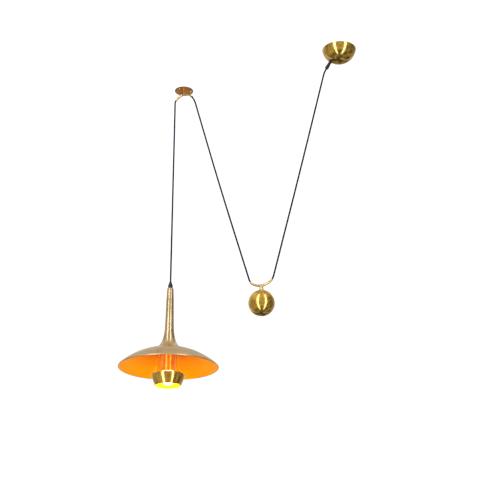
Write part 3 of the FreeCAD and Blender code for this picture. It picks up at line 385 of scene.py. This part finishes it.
# A closed profile from corners (across, up, rounding): each corner becomes an arc that touches both of
# its sides, and the last point meets the first.
def rounded(corners, steps=5):
    spots = np.array([corner[:2] for corner in corners], float)
    runs = []
    for number, corner in enumerate(corners):
        here = spots[number]
        back = spots[number - 1] - here
        ahead = spots[(number + 1) % len(corners)] - here
        shortest = min(np.linalg.norm(back), np.linalg.norm(ahead))
        back = back / np.linalg.norm(back)
        ahead = ahead / np.linalg.norm(ahead)
        half = acos(np.clip(back @ ahead, -1, 1)) / 2
        reach = min(corner[2] / tan(half), 0.48 * shortest)
        if reach < 1e-6:
            runs.append(here[None])
            continue
        radius = reach * tan(half)
        centre = here + (back + ahead) / np.linalg.norm(back + ahead) * radius / sin(half)
        first, last = here + back * reach - centre, here + ahead * reach - centre
        sweep = pi - 2 * half
        share = np.linspace(0, 1, steps + 1)[:, None]
        swung = np.sin((1 - share) * sweep) * first + np.sin(share * sweep) * last
        runs.append(centre + swung / sin(sweep))
    loop = np.vstack(runs)
    return np.vstack([loop, loop[:1]])


# How far along a profile each of its points lies.
def travelled(profile):
    return np.concatenate([[0.0], np.cumsum(np.linalg.norm(np.diff(profile, axis=0), axis=1))])


# The same profile with more points on its long straight parts.
def spaced(profile, longest=4.0):
    along = travelled(profile)
    extra = np.linspace(0, along[-1], int(along[-1] / longest) + 2)
    everywhere = np.unique(np.concatenate([along, extra]).round(5))
    return np.stack([np.interp(everywhere, along, column) for column in profile.T], 1)


# The three directions of a piece that stands on the given axis.
def standing(axis):
    up = np.array(axis, float) / np.linalg.norm(axis)
    side = np.cross((0, 1, 0), up) if abs(up[1]) < 0.9 else np.cross((0, 0, 1), up)
    side = side / np.linalg.norm(side)
    return np.stack([side, np.cross(up, side), up])


# A turned piece: the profile (radius, height) goes round its axis at the point "at", with the air on the
# profile's right. A change gives the radius to take away at each (height, angle).
def turned(name, profile, material, at, axis=(0, 0, 1), around=96, change=None, inside=None):
    profile = np.asarray(profile, float)
    radius, height = profile[:, :1], profile[:, 1:]
    angle = np.linspace(0, 2 * pi, around, endpoint=False)[None, :]
    wide = radius * np.ones_like(angle)
    if change:
        wide = np.maximum(wide - change(radius, height, angle), 0)
    flat = np.stack([wide * np.cos(angle), wide * np.sin(angle), height * np.ones_like(angle)], -1)
    points = flat @ standing(axis) + np.array(at, float)
    return gridPiece(name, points, travelled(profile), material, inside)


# A straight-sided tube bent round an arc: the wall's loop (radius, distance) follows the arc's middle
# line, which starts at one angle from straight up and ends at another.
def bentTube(name, size, material):
    start, end = np.radians(size["start"]), np.radians(size["end"])
    length = size["bend"] * (end - start)
    loop = spaced(rounded([
        (size["outer"], 0, size["lip"]), (size["outer"], length, size["lip"]),
        (size["inner"], length, size["lip"]), (size["inner"], 0, size["lip"]),
    ]), 1.6)
    turn = (start + loop[:, 1] / size["bend"])[:, None]
    angle = np.linspace(0, 2 * pi, 48, endpoint=False)[None, :]
    reach = size["bend"] + loop[:, :1] * np.cos(angle)
    points = np.stack([
        size["at"][0] + reach * np.sin(turn),
        -loop[:, :1] * np.sin(angle),
        size["at"][2] + reach * np.cos(turn),
    ], -1)
    return gridPiece(name, points, travelled(loop), material)


# Sets a piece on its body and hides the CAD nodes that it stands for. The name of its material's slot is not
# used.
def fit(piece, body, finishName, *replaced):
    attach(piece, body)
    if replaced:
        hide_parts(*replaced)
    return piece


# The CAD's cord is 6 mm wide. The width here is larger only so that the cord looks darker in the render:
# nothing measured asks for it, and it is a fault. Slopes are in degrees.
cord = {
    "width": 6.8,
    "sides": 20,
    "hookSlope": 55.0,
    "gripSlope": 35.0,
    "saddleSlope": 44.0,
    "near": 36.0,      # a long run stays straight from this far off a tube or a grip
    "hookExit": (-692.616, -39.523),
    "hookLead": 23.2,
    "hookMiddle": (-552.676, -492.739),
    "grip": (-59.661, -73.404),
    "gripLead": 15.4,
    "gripMiddle": (-187.102, -509.301),
    "saddleLead": 6.5,
    "saddleLeft": (-408.347, -944.576),
    "saddleRight": (-316.653, -944.576),
    "pivot": (-777.001, -50.994),
    "lampGrip": (-777.001, -880.0),
    "bendMiddle": (-777.001, -45.0),
    "bendStart": (-773.385, -39.520),
}


# The middle line of a cord, read from the route's own smooth curve, in millimetres.
def middleLine(name, route):
    curve = bpy.data.curves.new(name, "CURVE")
    curve.dimensions = "3D"
    curve.resolution_u = 28
    spline = curve.splines.new("NURBS")
    spline.points.add(len(route) - 1)
    spline.points.foreach_set("co", np.array([(x * mm, 0, z * mm, 1) for x, z in route]).ravel())
    spline.use_endpoint_u = True
    spline.order_u = 3
    holder = bpy.data.objects.new(name, curve)
    mesh = bpy.data.meshes.new_from_object(holder)
    line = np.empty(len(mesh.vertices) * 3)
    mesh.vertices.foreach_get("co", line)
    bpy.data.objects.remove(holder)
    bpy.data.curves.remove(curve)
    bpy.data.meshes.remove(mesh)
    return line.reshape(-1, 3) / mm


# A round cord: a circle square to the middle line at each of its points, closed by a point at each end.
def cordPiece(name, route):
    line = middleLine(name + "Line", route)
    heading = np.gradient(line, axis=0)
    heading = heading / np.linalg.norm(heading, axis=1)[:, None]
    normal = np.stack([-heading[:, 2], 0 * heading[:, 1], heading[:, 0]], 1)
    angle = np.linspace(0, 2 * pi, cord["sides"], endpoint=False)[None, :, None]
    ring = np.cos(angle) * normal[:, None, :] - np.sin(angle) * np.array([0.0, 1.0, 0.0])
    points = line[:, None, :] + ring * cord["width"] / 2
    ends = np.ones((1, cord["sides"], 1))
    points = np.concatenate([line[:1, None, :] * ends, points, line[-1:, None, :] * ends])
    along = np.concatenate([[0.0], travelled(line), [travelled(line)[-1]]])
    return gridPiece(name, points, along, blackBraid), line * mm


# The point at a distance from the start on the straight way to another point.
def offset(start, towards, distance):
    start, towards = np.array(start), np.array(towards)
    return tuple(start + (towards - start) / np.linalg.norm(towards - start) * distance)


# A leg of cord to the weight: straight out of its exit, along its run, and straight into a mouth of the
# weight's tube, where outward is -1 on the left and 1 on the right.
def leg(mouth, slope, lead, middle, saddle, outward):
    first = (mouth[0] + slope[0] * lead, mouth[1] + slope[1] * lead)
    rise = radians(cord["saddleSlope"])
    last = (saddle[0] + outward * cos(rise) * cord["saddleLead"], saddle[1] + sin(rise) * cord["saddleLead"])
    return [mouth, first, offset(first, middle, cord["near"]), middle,
            offset(last, middle, cord["near"]), last, saddle]


hookDown, gripDown = radians(cord["hookSlope"]), radians(cord["gripSlope"])
hookRoute = leg(cord["hookExit"], (cos(hookDown), -sin(hookDown)), cord["hookLead"],
                cord["hookMiddle"], cord["saddleLeft"], -1)
canopyRoute = leg(cord["grip"], (-sin(gripDown), -cos(gripDown)), cord["gripLead"],
                  cord["gripMiddle"], cord["saddleRight"], 1)
dropMiddle = (cord["pivot"][0], (cord["pivot"][1] + cord["lampGrip"][1]) / 2)
cords = {
    "cordHookLeg": (hookRoute, "cord_hook_leg", "weight_cords", "weight"),
    "cordCanopyLeg": (canopyRoute, "cord_canopy_leg", "weight_cords", "weight"),
    "cordHookBend": ([cord["bendStart"], cord["bendMiddle"], cord["pivot"]], "cord_hook_bend",
                     "ceiling", "lamp_bend"),
    "cordLampDrop": ([cord["pivot"], dropMiddle, cord["lampGrip"]], "cord_lamp_drop",
                     "lamp_cord", "lamp"),
}
for name, (route, replaced, upper, lower) in cords.items():
    piece, line = cordPiece(name, route)
    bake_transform(piece)
    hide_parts(replaced)
    if name != "cordHookBend":
        length = float(np.linalg.norm(np.diff(line, axis=0), axis=1).sum())
        "hanging" if name == "cordLampDrop" else "taut"
        [bpy.data.objects["cordHookBend"]] if name == "cordLampDrop" else ()
        print(name, round(length, 4), "m")


canopy = {"radius": 70.0, "lift": 11.8, "wall": 1.2, "gripHole": 5.08,
          "outerTurn": 0.5, "innerTurn": 0.4, "outerEase": 0.25, "innerEase": 0.2}
rimAngle = -degrees(asin(canopy["lift"] / canopy["radius"]))
innerRadius = canopy["radius"] - canopy["wall"]
innerRim = -degrees(asin(canopy["lift"] / innerRadius))
domeProfile = np.vstack([
    arc(0, canopy["lift"], canopy["radius"], -90, rimAngle - canopy["outerTurn"], 72),
    [(sqrt(canopy["radius"] ** 2 - canopy["lift"] ** 2) - canopy["outerEase"], 0.0)],
    [(sqrt(innerRadius ** 2 - canopy["lift"] ** 2) + canopy["innerEase"], 0.0)],
    arc(0, canopy["lift"], innerRadius, innerRim - canopy["innerTurn"], -90, 48),
])
fit(turned("canopyShell", domeProfile, brassForCanopy, (0, 0, 0), around=160),
    "ceiling", "polished_brass", "canopy_dome")

gripAxis = (-sin(gripDown), 0, -cos(gripDown))
gripSeat = sqrt(canopy["radius"] ** 2 - canopy["gripHole"] ** 2)
gripAt = np.array([0, 0, canopy["lift"]]) + np.array(gripAxis) * gripSeat
grip = {"groove": 0.5, "grooveHalf": 0.55, "bore": 3.4, "flute": 0.22, "flutes": 24}


# Grooves round a grip, each a bell curve of height, and flutes along its collar, a cosine of the angle.
def gripChange(grooves, collarLow, collarHigh):
    def change(radius, height, angle):
        ribs = sum(grip["groove"] * np.exp(-((height - middle) / grip["grooveHalf"]) ** 2)
                   for middle in grooves)
        collar = (height > collarLow) & (height < collarHigh)
        flutes = collar * grip["flute"] * (1 + np.cos(grip["flutes"] * angle))
        return (radius > grip["bore"]) * (ribs + 0 * angle + flutes)
    return change


# From the end inside the dome: the shank, the collar, the barrel and the cord's mouth.
canopyGrip = spaced(rounded([
    (3.1, -9, 0), (5, -9, 0.3), (5, 0, 0), (7.2, 0, 0.3), (7.2, 3, 0.5), (5.6, 3.6, 0.5),
    (7.4, 22, 6), (7.2, 31.5, 2.0), (4.6, 34.2, 0.6), (3.1, 34.2, 0.2),
]), 0.35)
fit(turned("canopyGrip", canopyGrip, slotFinish["black_plastic"], gripAt, gripAxis, 72,
           gripChange((14, 17, 20, 23, 26), 0.2, 2.8)),
    "ceiling", "black_plastic", "canopy_cord_grip")
print("canopy done")


# A cross-headed screw whose seat is at the point "at" and whose shank runs along the axis: a domed head
# with a sunk cross, a plain neck, and a thread that winds round as a cosine of height less angle.
def screwPiece(name, size, at, axis, material):
    head = np.linspace(0, 1, 26)[:, None] * size["head"] / 2
    crown = -size["depth"] * (1 - (head / (size["head"] / 2)) ** 2)
    shank = np.linspace(size["neckLength"], size["length"] - size["tip"], size["rows"])
    stem = np.array([[size["neck"] / 2, 0], [size["neck"] / 2, size["neckLength"]]])
    profile = np.vstack([
        np.hstack([head, crown]), stem,
        np.stack([np.full_like(shank, size["shank"] / 2), shank], 1),
        [(0, size["length"])],
    ])
    angle = np.linspace(0, 2 * pi, 48, endpoint=False)[None, :]
    radius, height = profile[:, :1] * np.ones_like(angle), profile[:, 1:] * np.ones_like(angle)
    threaded = (profile[:, 1:] > size["neckLength"]) & (profile[:, :1] > 0.1)
    wave = 0.5 + 0.5 * np.cos(2 * pi * height / size["pitch"] - angle)
    radius = radius - threaded * size["thread"] * wave ** 2
    x, y = radius * np.cos(angle), radius * np.sin(angle)
    slim, long = size["head"] * 0.07, size["head"] * 0.27
    arms = np.minimum(np.maximum(abs(x) / slim, abs(y) / long), np.maximum(abs(x) / long, abs(y) / slim))
    sunk = np.clip((1.3 - arms) / 0.5, 0, 1) * size["depth"] * 0.55
    height = height + sunk * (profile[:, 1:] < -0.05)
    flat = np.stack([x, y, height], -1)
    points = flat @ standing(axis) + np.array(at, float)
    return gridPiece(name, points, travelled(profile), material, sharp=30)


ceilingScrew = {"head": 8.0, "depth": 2.4, "neck": 3.6, "neckLength": 3.0, "shank": 4.2, "length": 28.0,
                "tip": 4.0, "thread": 0.7, "pitch": 1.9, "rows": 110}
strapScrew = dict(ceilingScrew, depth=2.6, neckLength=2.5)
sideScrew = dict(ceilingScrew, head=7.0, shank=3.8, neck=3.4, neckLength=0.8, length=9.0, tip=0.6,
                 thread=0.35, pitch=0.7, rows=90)
screwPlace = {"turn": 21, "circle": 30, "plate": -3, "strapOut": 38, "strap": -2.5, "side": -12,
              "sideHead": 2.4}
for number in range(3):
    turn = radians(screwPlace["turn"] + 120 * number)
    out = screwPlace["circle"]
    spot = (hookAxis + out * cos(turn), out * sin(turn), screwPlace["plate"])
    fit(screwPiece(f"hookScrew{number + 1}", ceilingScrew, spot, (0, 0, 1), slotFinish["bright_nickel"]),
        "ceiling", "bright_nickel", f"hook_screw_{number + 1}")
for number, side in enumerate((1, -1), start=1):
    spot = (0, screwPlace["strapOut"] * side, screwPlace["strap"])
    fit(screwPiece(f"bracketScrew{number}", strapScrew, spot, (0, 0, 1), slotFinish["zinc_steel"]),
        "ceiling", "zinc_steel", f"bracket_screw_{number}")
    low, high = (np.array(corner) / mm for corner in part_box(f"dome_screw_{number}"))
    seat = (high[1] if side > 0 else low[1]) - side * screwPlace["sideHead"]
    size = dict(sideScrew, length=float(abs(seat - (low[1] if side > 0 else high[1]))))
    spot = (0, seat, screwPlace["side"])
    fit(screwPiece(f"domeScrew{number}", size, spot, (0, -side, 0), brassForCanopy),
        "ceiling", "polished_brass", f"dome_screw_{number}")
print("screws done")


hook = {"plate": 40.0, "depth": 3.0, "hole": 2.1, "bend": 49.3, "centre": 67.8}
plateProfile = spaced(rounded([
    (hook["hole"], -hook["depth"], 0), (37.2, -hook["depth"], 0.3), (38.0, -2.6, 0.3),
    (hook["plate"], -2.0, 0.8), (hook["plate"], 0, 0.3), (4.1, 0, 0), (hook["hole"], -2.1, 0),
]), 2.0)
fit(turned("hookPlate", plateProfile, brassForPlate, (hookAxis, 0, 0), around=128),
    "ceiling", "polished_brass", "hook_plate")
# A guessed ring where the post meets the plate, which the CAD doesn't have.
footProfile = rounded([
    (4.0, -6.2, 0), (4.5, -6.2, 0.2), (5.0, -4.4, 1.2), (6.3, -3.5, 0.2),
    (6.6, -hook["depth"], 0), (4.0, -hook["depth"], 0),
])
fit(turned("hookPostFoot", footProfile, brassForHook, (hookAxis, 0, 0), around=64),
    "ceiling", "polished_brass")
tube = {"outer": 5.0, "inner": 4.0, "lip": 0.35}
hookTube = dict(tube, bend=hook["bend"], at=(hookAxis, 0, -hook["centre"]),
                start=-cord["hookSlope"], end=cord["hookSlope"])
fit(bentTube("hookTube", hookTube, brassForHookTubeHighlit), "ceiling", "polished_brass", "hook_tube")
print("hook done")


weight = {"ball": 51.6, "centre": -1035.1, "saddleBend": 66.0, "saddleCentre": -897.1}
saddleTube = dict(tube, bend=weight["saddleBend"], at=(weightAxis, 0, weight["saddleCentre"]),
                  start=180 - cord["saddleSlope"], end=180 + cord["saddleSlope"])
fit(bentTube("saddleTube", saddleTube, brassForSaddleHighlit), "weight", "polished_brass", "saddle_tube")
# The weight's neck and the hook's post take the paler brass too, as painted highlight.
nodes["weight_neck"].data.materials[0] = brassForSaddleHighlit
nodes["hook_post"].data.materials[0] = brassForHookTubeHighlit
fit(turned("weightBall", arc(0, 0, weight["ball"], -90, 90, 120), brassForWeight,
           (weightAxis, 0, weight["centre"]), around=160),
    "weight", "polished_brass", "weight_shell")
print("weight done")


stem = {"foot": -1166.55, "shoulder": -911.8, "top": -907.8, "waist": 17.4, "neck": 13.0, "growth": 70.0,
        "flare": 28.0, "footRadius": 53.9, "wall": 1.6, "lip": 9.5, "bore": 5.1, "footOut": 0.25,
        "footDown": 0.32}


# The stem's outside: a body that widens from the shoulder and a flare that fades up from its foot, each by
# a falling exponential of the distance from there.
def stemRadius(height):
    tall = stem["shoulder"] - stem["foot"]
    body = stem["waist"] - (stem["waist"] - stem["neck"]) * np.exp(-(tall - height) / stem["growth"])
    return body + (stem["footRadius"] - stem["waist"]) * np.exp(-height / stem["flare"])


rise = (stem["shoulder"] - stem["foot"]) * (1 - np.cos(np.linspace(0, pi / 2, 150)))
outside = np.stack([stemRadius(rise), stem["foot"] + rise], 1)
insideWall = outside[::-1] - np.array([stem["wall"], 0])
shoulder = rounded([
    (outside[-1][0] - 1, stem["shoulder"] - 2, 0), (outside[-1][0], stem["shoulder"] + 0.2, 1.6),
    (stem["lip"], stem["top"], 0.8), (stem["bore"], stem["top"], 0),
])[1:-2]
stemEdge = [(stem["footRadius"] + stem["footOut"], stem["foot"] - stem["footDown"])]
stemProfile = np.vstack([
    stemEdge, outside, shoulder[1:], [(stem["bore"], stem["shoulder"])], insideWall, stemEdge,
])
fit(turned("stemBody", stemProfile, brassForStem, (lampAxis, 0, 0), around=144),
    "lamp", "satin_brass", "stem")

lampGrip = spaced(rounded([
    (stem["bore"], 0, 0), (9.7, 0, 0.4), (9.7, 9.8, 0.8), (4.1, 27.8, 0.6), (3.1, 27.8, 0.2),
    (3.1, 12.4, 0), (stem["bore"], 12.2, 0),
]), 0.35)
fit(turned("lampGrip", lampGrip, slotFinish["black_plastic"], (lampAxis, 0, stem["top"]), around=96,
           change=gripChange((12, 14.5, 17, 19.5, 22), 0.8, 9.0)),
    "lamp", "black_plastic", "lamp_cord_grip")

shade = {"radius": 200.5, "height": 81.0, "edge": 9.0, "wall": 0.9, "bead": 1.6, "top": -1162.0, "hole": 5.1}
base = shade["radius"] - shade["edge"]
cap = (base ** 2 + shade["height"] ** 2 - shade["edge"] ** 2) / (2 * (shade["height"] - shade["edge"]))
drop = cap - shade["height"]
meet = degrees(atan2(drop, base))
beadAt = (shade["radius"] - shade["bead"], shade["bead"])
outerSide = np.vstack([
    arc(*beadAt, shade["bead"], -90, 30, 9),
    arc(base, 0, shade["edge"], 16, meet, 12),
    arc(0, -drop, cap, meet, 90 - degrees(asin(shade["hole"] / cap)), 90)[1:],
])
innerCap = cap - shade["wall"]
innerSide = np.vstack([
    arc(0, -drop, innerCap, 90 - degrees(asin(shade["hole"] / innerCap)), meet, 90),
    arc(base, 0, shade["edge"] - shade["wall"], meet, 22, 10)[1:],
    arc(*beadAt, shade["bead"], 130, 270, 10),
])
shadeProfile = np.vstack([outerSide, innerSide])
shadeInside = np.concatenate([np.zeros(len(outerSide)), np.ones(len(innerSide))])
shadeInside[-5:] = 0
shell = fit(turned("shadeShell", shadeProfile, brassForShade, (lampAxis, 0, shade["top"] - shade["height"]),
                   around=224, inside=shadeInside),
            "lamp", "satin_brass", "shade")
shell.visible_glossy = False  # so that the tube under it keeps the two upright bands of the soft boxes

socket = {"radius": 27.0, "wall": 1.2, "hole": 5.2, "top": -1168.4, "height": 90.5}
socketWall = socket["radius"] - socket["wall"]
socketProfile = spaced(rounded([
    (socket["radius"], 1.5 - socket["height"], 0), (socket["radius"], 0, 0.6), (socket["hole"], 0, 0),
    (socket["hole"], -socket["wall"], 0), (socketWall, -socket["wall"], 0.3),
    (socketWall, 1.2 - socket["height"], 0.1), (25.2, 0.9 - socket["height"], 0.4),
    (25.4, -socket["height"], 0.5), (26.8, -socket["height"], 0.6),
]), 3.0)
fit(turned("socketTube", socketProfile, amberAndGlowForTube, (lampAxis, 0, socket["top"]), around=112),
    "lamp", "satin_brass", "socket_tube")

cup = {"top": 66.0, "foot": 50.5, "height": 44.0, "bulge": 140.0, "wall": 1.0, "rim": -1272.0}


# The cup's wall, bowed out from the straight line between its rims, and set in by the given amount.
def cupWall(inset, share):
    chord = np.array([cup["top"] - cup["foot"], cup["height"]])
    length = np.linalg.norm(chord)
    crown = np.sqrt(cup["bulge"] ** 2 - (length * (share - 0.5)) ** 2)
    bow = crown - sqrt(cup["bulge"] ** 2 - length ** 2 / 4)
    outward = np.array([chord[1], -chord[0]]) / length
    spots = np.array([cup["foot"], -cup["height"]]) + share[:, None] * chord
    return spots + (bow - inset)[:, None] * outward


share = np.linspace(0.02, 0.98, 40)
cupProfile = np.vstack([
    [(cup["foot"] - 1.3, -cup["height"]), (cup["foot"] - 0.3, -cup["height"])],
    cupWall(0.0, share),
    arc(cup["top"] - 1.0, -0.9, 0.9, 10, 170, 8),
    cupWall(cup["wall"], share[::-1]),
    [(cup["foot"] - 1.7, -cup["height"] + 0.5), (cup["foot"] - 1.3, -cup["height"])],
])
# The lip's first five points are bare brass, and its last three and the inner wall take the lacquer colour,
# which is painted glow of the bulb.
cupInside = np.concatenate([np.zeros(2 + len(share) + 5), np.ones(3 + len(share) + 2)])
fit(turned("cupShell", cupProfile, brassForCupWithPaintedGlow, (lampAxis, 0, cup["rim"]), around=160, inside=cupInside),
    "lamp", "polished_brass", "reflector_cup")

rod = {"radius": 2.0, "upper": 32.5, "lower": 62.6, "top": -1168.4, "collar": 3.3}
for number in range(3):
    turn = radians(120 * number)
    outward = np.array([cos(turn), sin(turn), 0])
    start = np.array([lampAxis, 0, rod["top"]]) + outward * rod["upper"]
    end = np.array([lampAxis, 0, cup["rim"]]) + outward * rod["lower"]
    length = float(np.linalg.norm(end - start))
    profile = spaced(rounded([
        (0.01, 0, 0), (rod["radius"], 0, 0.5), (rod["radius"], length - 4, 0.3),
        (rod["collar"], length - 3.4, 0.3), (rod["collar"], length - 0.2, 0.4), (0.01, length - 0.2, 0),
    ]), 2.0)
    fit(turned(f"cupRod{number + 1}", profile, amberAndGlowForTube, end, start - end, 32),
        "lamp", "satin_brass", f"cup_rod_{number + 1}")

bulb = {"radius": 30.0, "centre": -1283.6, "neck": 12.3, "rise": 48.0, "top": 53.0}
slant = sqrt(bulb["neck"] ** 2 + bulb["rise"] ** 2)
touch = degrees(atan2(bulb["neck"], bulb["rise"]) + acos(bulb["radius"] / slant))
bulbProfile = spaced(np.vstack([
    arc(0, 0, bulb["radius"], -90, 90 - touch, 60),
    [(bulb["neck"], bulb["rise"]), (bulb["neck"], bulb["top"]), (0, bulb["top"])],
]), 3.0)
bulbAt = (lampAxis, 0, bulb["centre"])
glass = fit(turned("bulbGlass", bulbProfile, slotFinish["opal_glass"], bulbAt, around=96),
            "lamp", "opal_glass", "bulb_globe")
glass.visible_shadow = False
glass.visible_glossy = False
print("lamp done")


stage = {"ceiling": 0.0, "floor": -2.45, "half": 22.0, "white": 0.8, "glow": 1.2}


# A wide flat plane that looks white and keeps a soft shadow, and is clear from its other side.
def stagePlane(name, height, faceUp):
    half = stage["half"]
    mesh = bpy.data.meshes.new(name)
    corners = [(-half, -half, height), (half, -half, height), (half, half, height), (-half, half, height)]
    mesh.from_pydata(corners, [], [(0, 1, 2, 3) if faceUp else (3, 2, 1, 0)])
    finish = newFinish(name)
    grain = finish.noise(finish.add("ShaderNodeTexCoord", output=3), 3.0)
    tone = finish.mixed(grain, (0.90, 0.90, 0.90, 1), (0.93, 0.93, 0.93, 1))
    lit = finish.add("ShaderNodeBsdfDiffuse", None, {"Color": tone})
    glow = finish.add("ShaderNodeEmission", None, {"Color": (1, 1, 1, 1), "Strength": stage["glow"]})
    rays = finish.add("ShaderNodeLightPath", output=None)
    shown = finish.maximum(rays[0], rays[3], rays[6])
    plain = finish.add("ShaderNodeMixShader", None, {0: shown * stage["white"], 1: lit, 2: glow})
    clear = finish.add("ShaderNodeBsdfTransparent")
    behind = finish.add("ShaderNodeNewGeometry", output=6)
    both = finish.add("ShaderNodeMixShader", None, {0: behind, 1: plain, 2: clear})
    finish.add("ShaderNodeOutputMaterial", None, {"Surface": both}, None)
    mesh.materials.append(finish.owner)
    plane = bpy.data.objects.new(name, mesh)
    bpy.context.scene.collection.objects.link(plane)
    return plane


ceilingPlane = stagePlane("ceilingPlane", stage["ceiling"], False)
floorPlane = stagePlane("floorPlane", stage["floor"], True)
for plane in (ceilingPlane, floorPlane):
    plane.visible_glossy = False
    plane.visible_shadow = False

# The room round the lamp: plain walls, lighter overhead and darker low down and to the right, with two
# tall soft boxes that stand as upright bands on the camera's side and two faint ones behind. The world is
# white to camera and transmission rays only, so metal reflects the room and not the white background.
room = {
    "studio": 0.44,
    "overhead": 0.26,
    "below": -0.22,
    "farBelow": -0.28,
    "farAbove": 0.04,
    "rightSide": -0.16,
    "patches": 1.4,
    "cool": (0.88, 1.0, 1.5, 1),
    "bands": ((-35.0, 5.4, 5.6), (38.0, 4.8, 5.2), (144.0, 3.0, 0.7), (-139.0, 3.0, 0.7)),
}
world = bpy.data.worlds.new("studio")
bpy.context.scene.world = world
air = Finish(world)
x, y, z = air.add("ShaderNodeSeparateXYZ", None, {0: air.add("ShaderNodeTexCoord", output=0)}, None)
turn = radians(camera["turn"])
ahead = x * -sin(turn) + y * cos(turn)
right = x * cos(turn) + y * sin(turn)
bearing = air.add("ShaderNodeMath", {"operation": "ARCTAN2"}, {0: right, 1: ahead * -1.0}) * (180 / pi)
cloud = air.noise(air.add("ShaderNodeTexCoord", output=0), 3.0, 2.0)
far = air.smooth(ahead, 0.0, 0.85)
tone = room["studio"] + air.smooth(z, 0.0, 1.0) * room["overhead"]
tone = tone + air.smooth(right, 0.3, 0.95) * room["rightSide"] + (cloud - 0.5) * room["patches"]
tone = tone + far * air.smooth(z * -1.0, 0.0, 0.5) * room["farBelow"]
tone = tone + air.smooth(z * -1.0, 0.5, 0.95) * room["below"]
tone = air.maximum(tone + far * air.smooth(z, 0.0, 0.35) * room["farAbove"], 0.06)
reach = air.smooth(z, -1.0, -0.86) * air.smooth(z * -1.0, -0.99, -0.80)
boxes = 0.0
for middle, half, bright in room["bands"]:
    away = air.add("ShaderNodeMath", {"operation": "ABSOLUTE"}, {0: bearing - middle})
    boxes = air.smooth(away * -1.0, -half - 3.5, -half + 3.5) * reach * bright + boxes
rays = air.add("ShaderNodeLightPath", output=None)
walls = air.add("ShaderNodeBackground", None, {"Color": (1, 0.985, 0.95, 1), "Strength": tone})
softBoxes = air.add("ShaderNodeBackground", None, {"Color": room["cool"], "Strength": boxes})
studioLight = air.add("ShaderNodeAddShader", None, {0: walls, 1: softBoxes})
white = air.add("ShaderNodeBackground", None, {"Color": (1, 1, 1, 1), "Strength": 1.0})
shown = air.add("ShaderNodeMixShader", None, {0: air.maximum(rays[0], rays[6]), 1: studioLight, 2: white})
air.add("ShaderNodeOutputWorld", None, {"Surface": shown}, None)


def lamp(name, kind, place, aim, energy, colour, **settings):
    light = bpy.data.lights.new(name, kind)
    light.energy = energy
    light.color = colour
    for key, value in settings.items():
        setattr(light, key, value)
    holder = bpy.data.objects.new(name, light)
    bpy.context.scene.collection.objects.link(holder)
    holder.location = place
    if aim is not None:
        across = holder.location - type(holder.location)(aim)
        holder.rotation_euler = across.to_track_quat("Z", "Y").to_euler()
    return holder


key = lamp("softKey", "AREA", (2.2, -3.4, -1.6), (-0.4, 0, -0.4), 70.0, (1, 1, 1), shape="DISK", size=1.4)
key.visible_glossy = False
key.visible_camera = False
bulbLight = lamp("bulbLight", "POINT", (lampAxis * mm, 0, -1.268), None, 3.6, (1.0, 0.62, 0.24),
                 shadow_soft_size=0.027)
bulbLight.visible_camera = False
bulbLight.visible_glossy = False
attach(bulbLight, "lamp")

print("stage done")
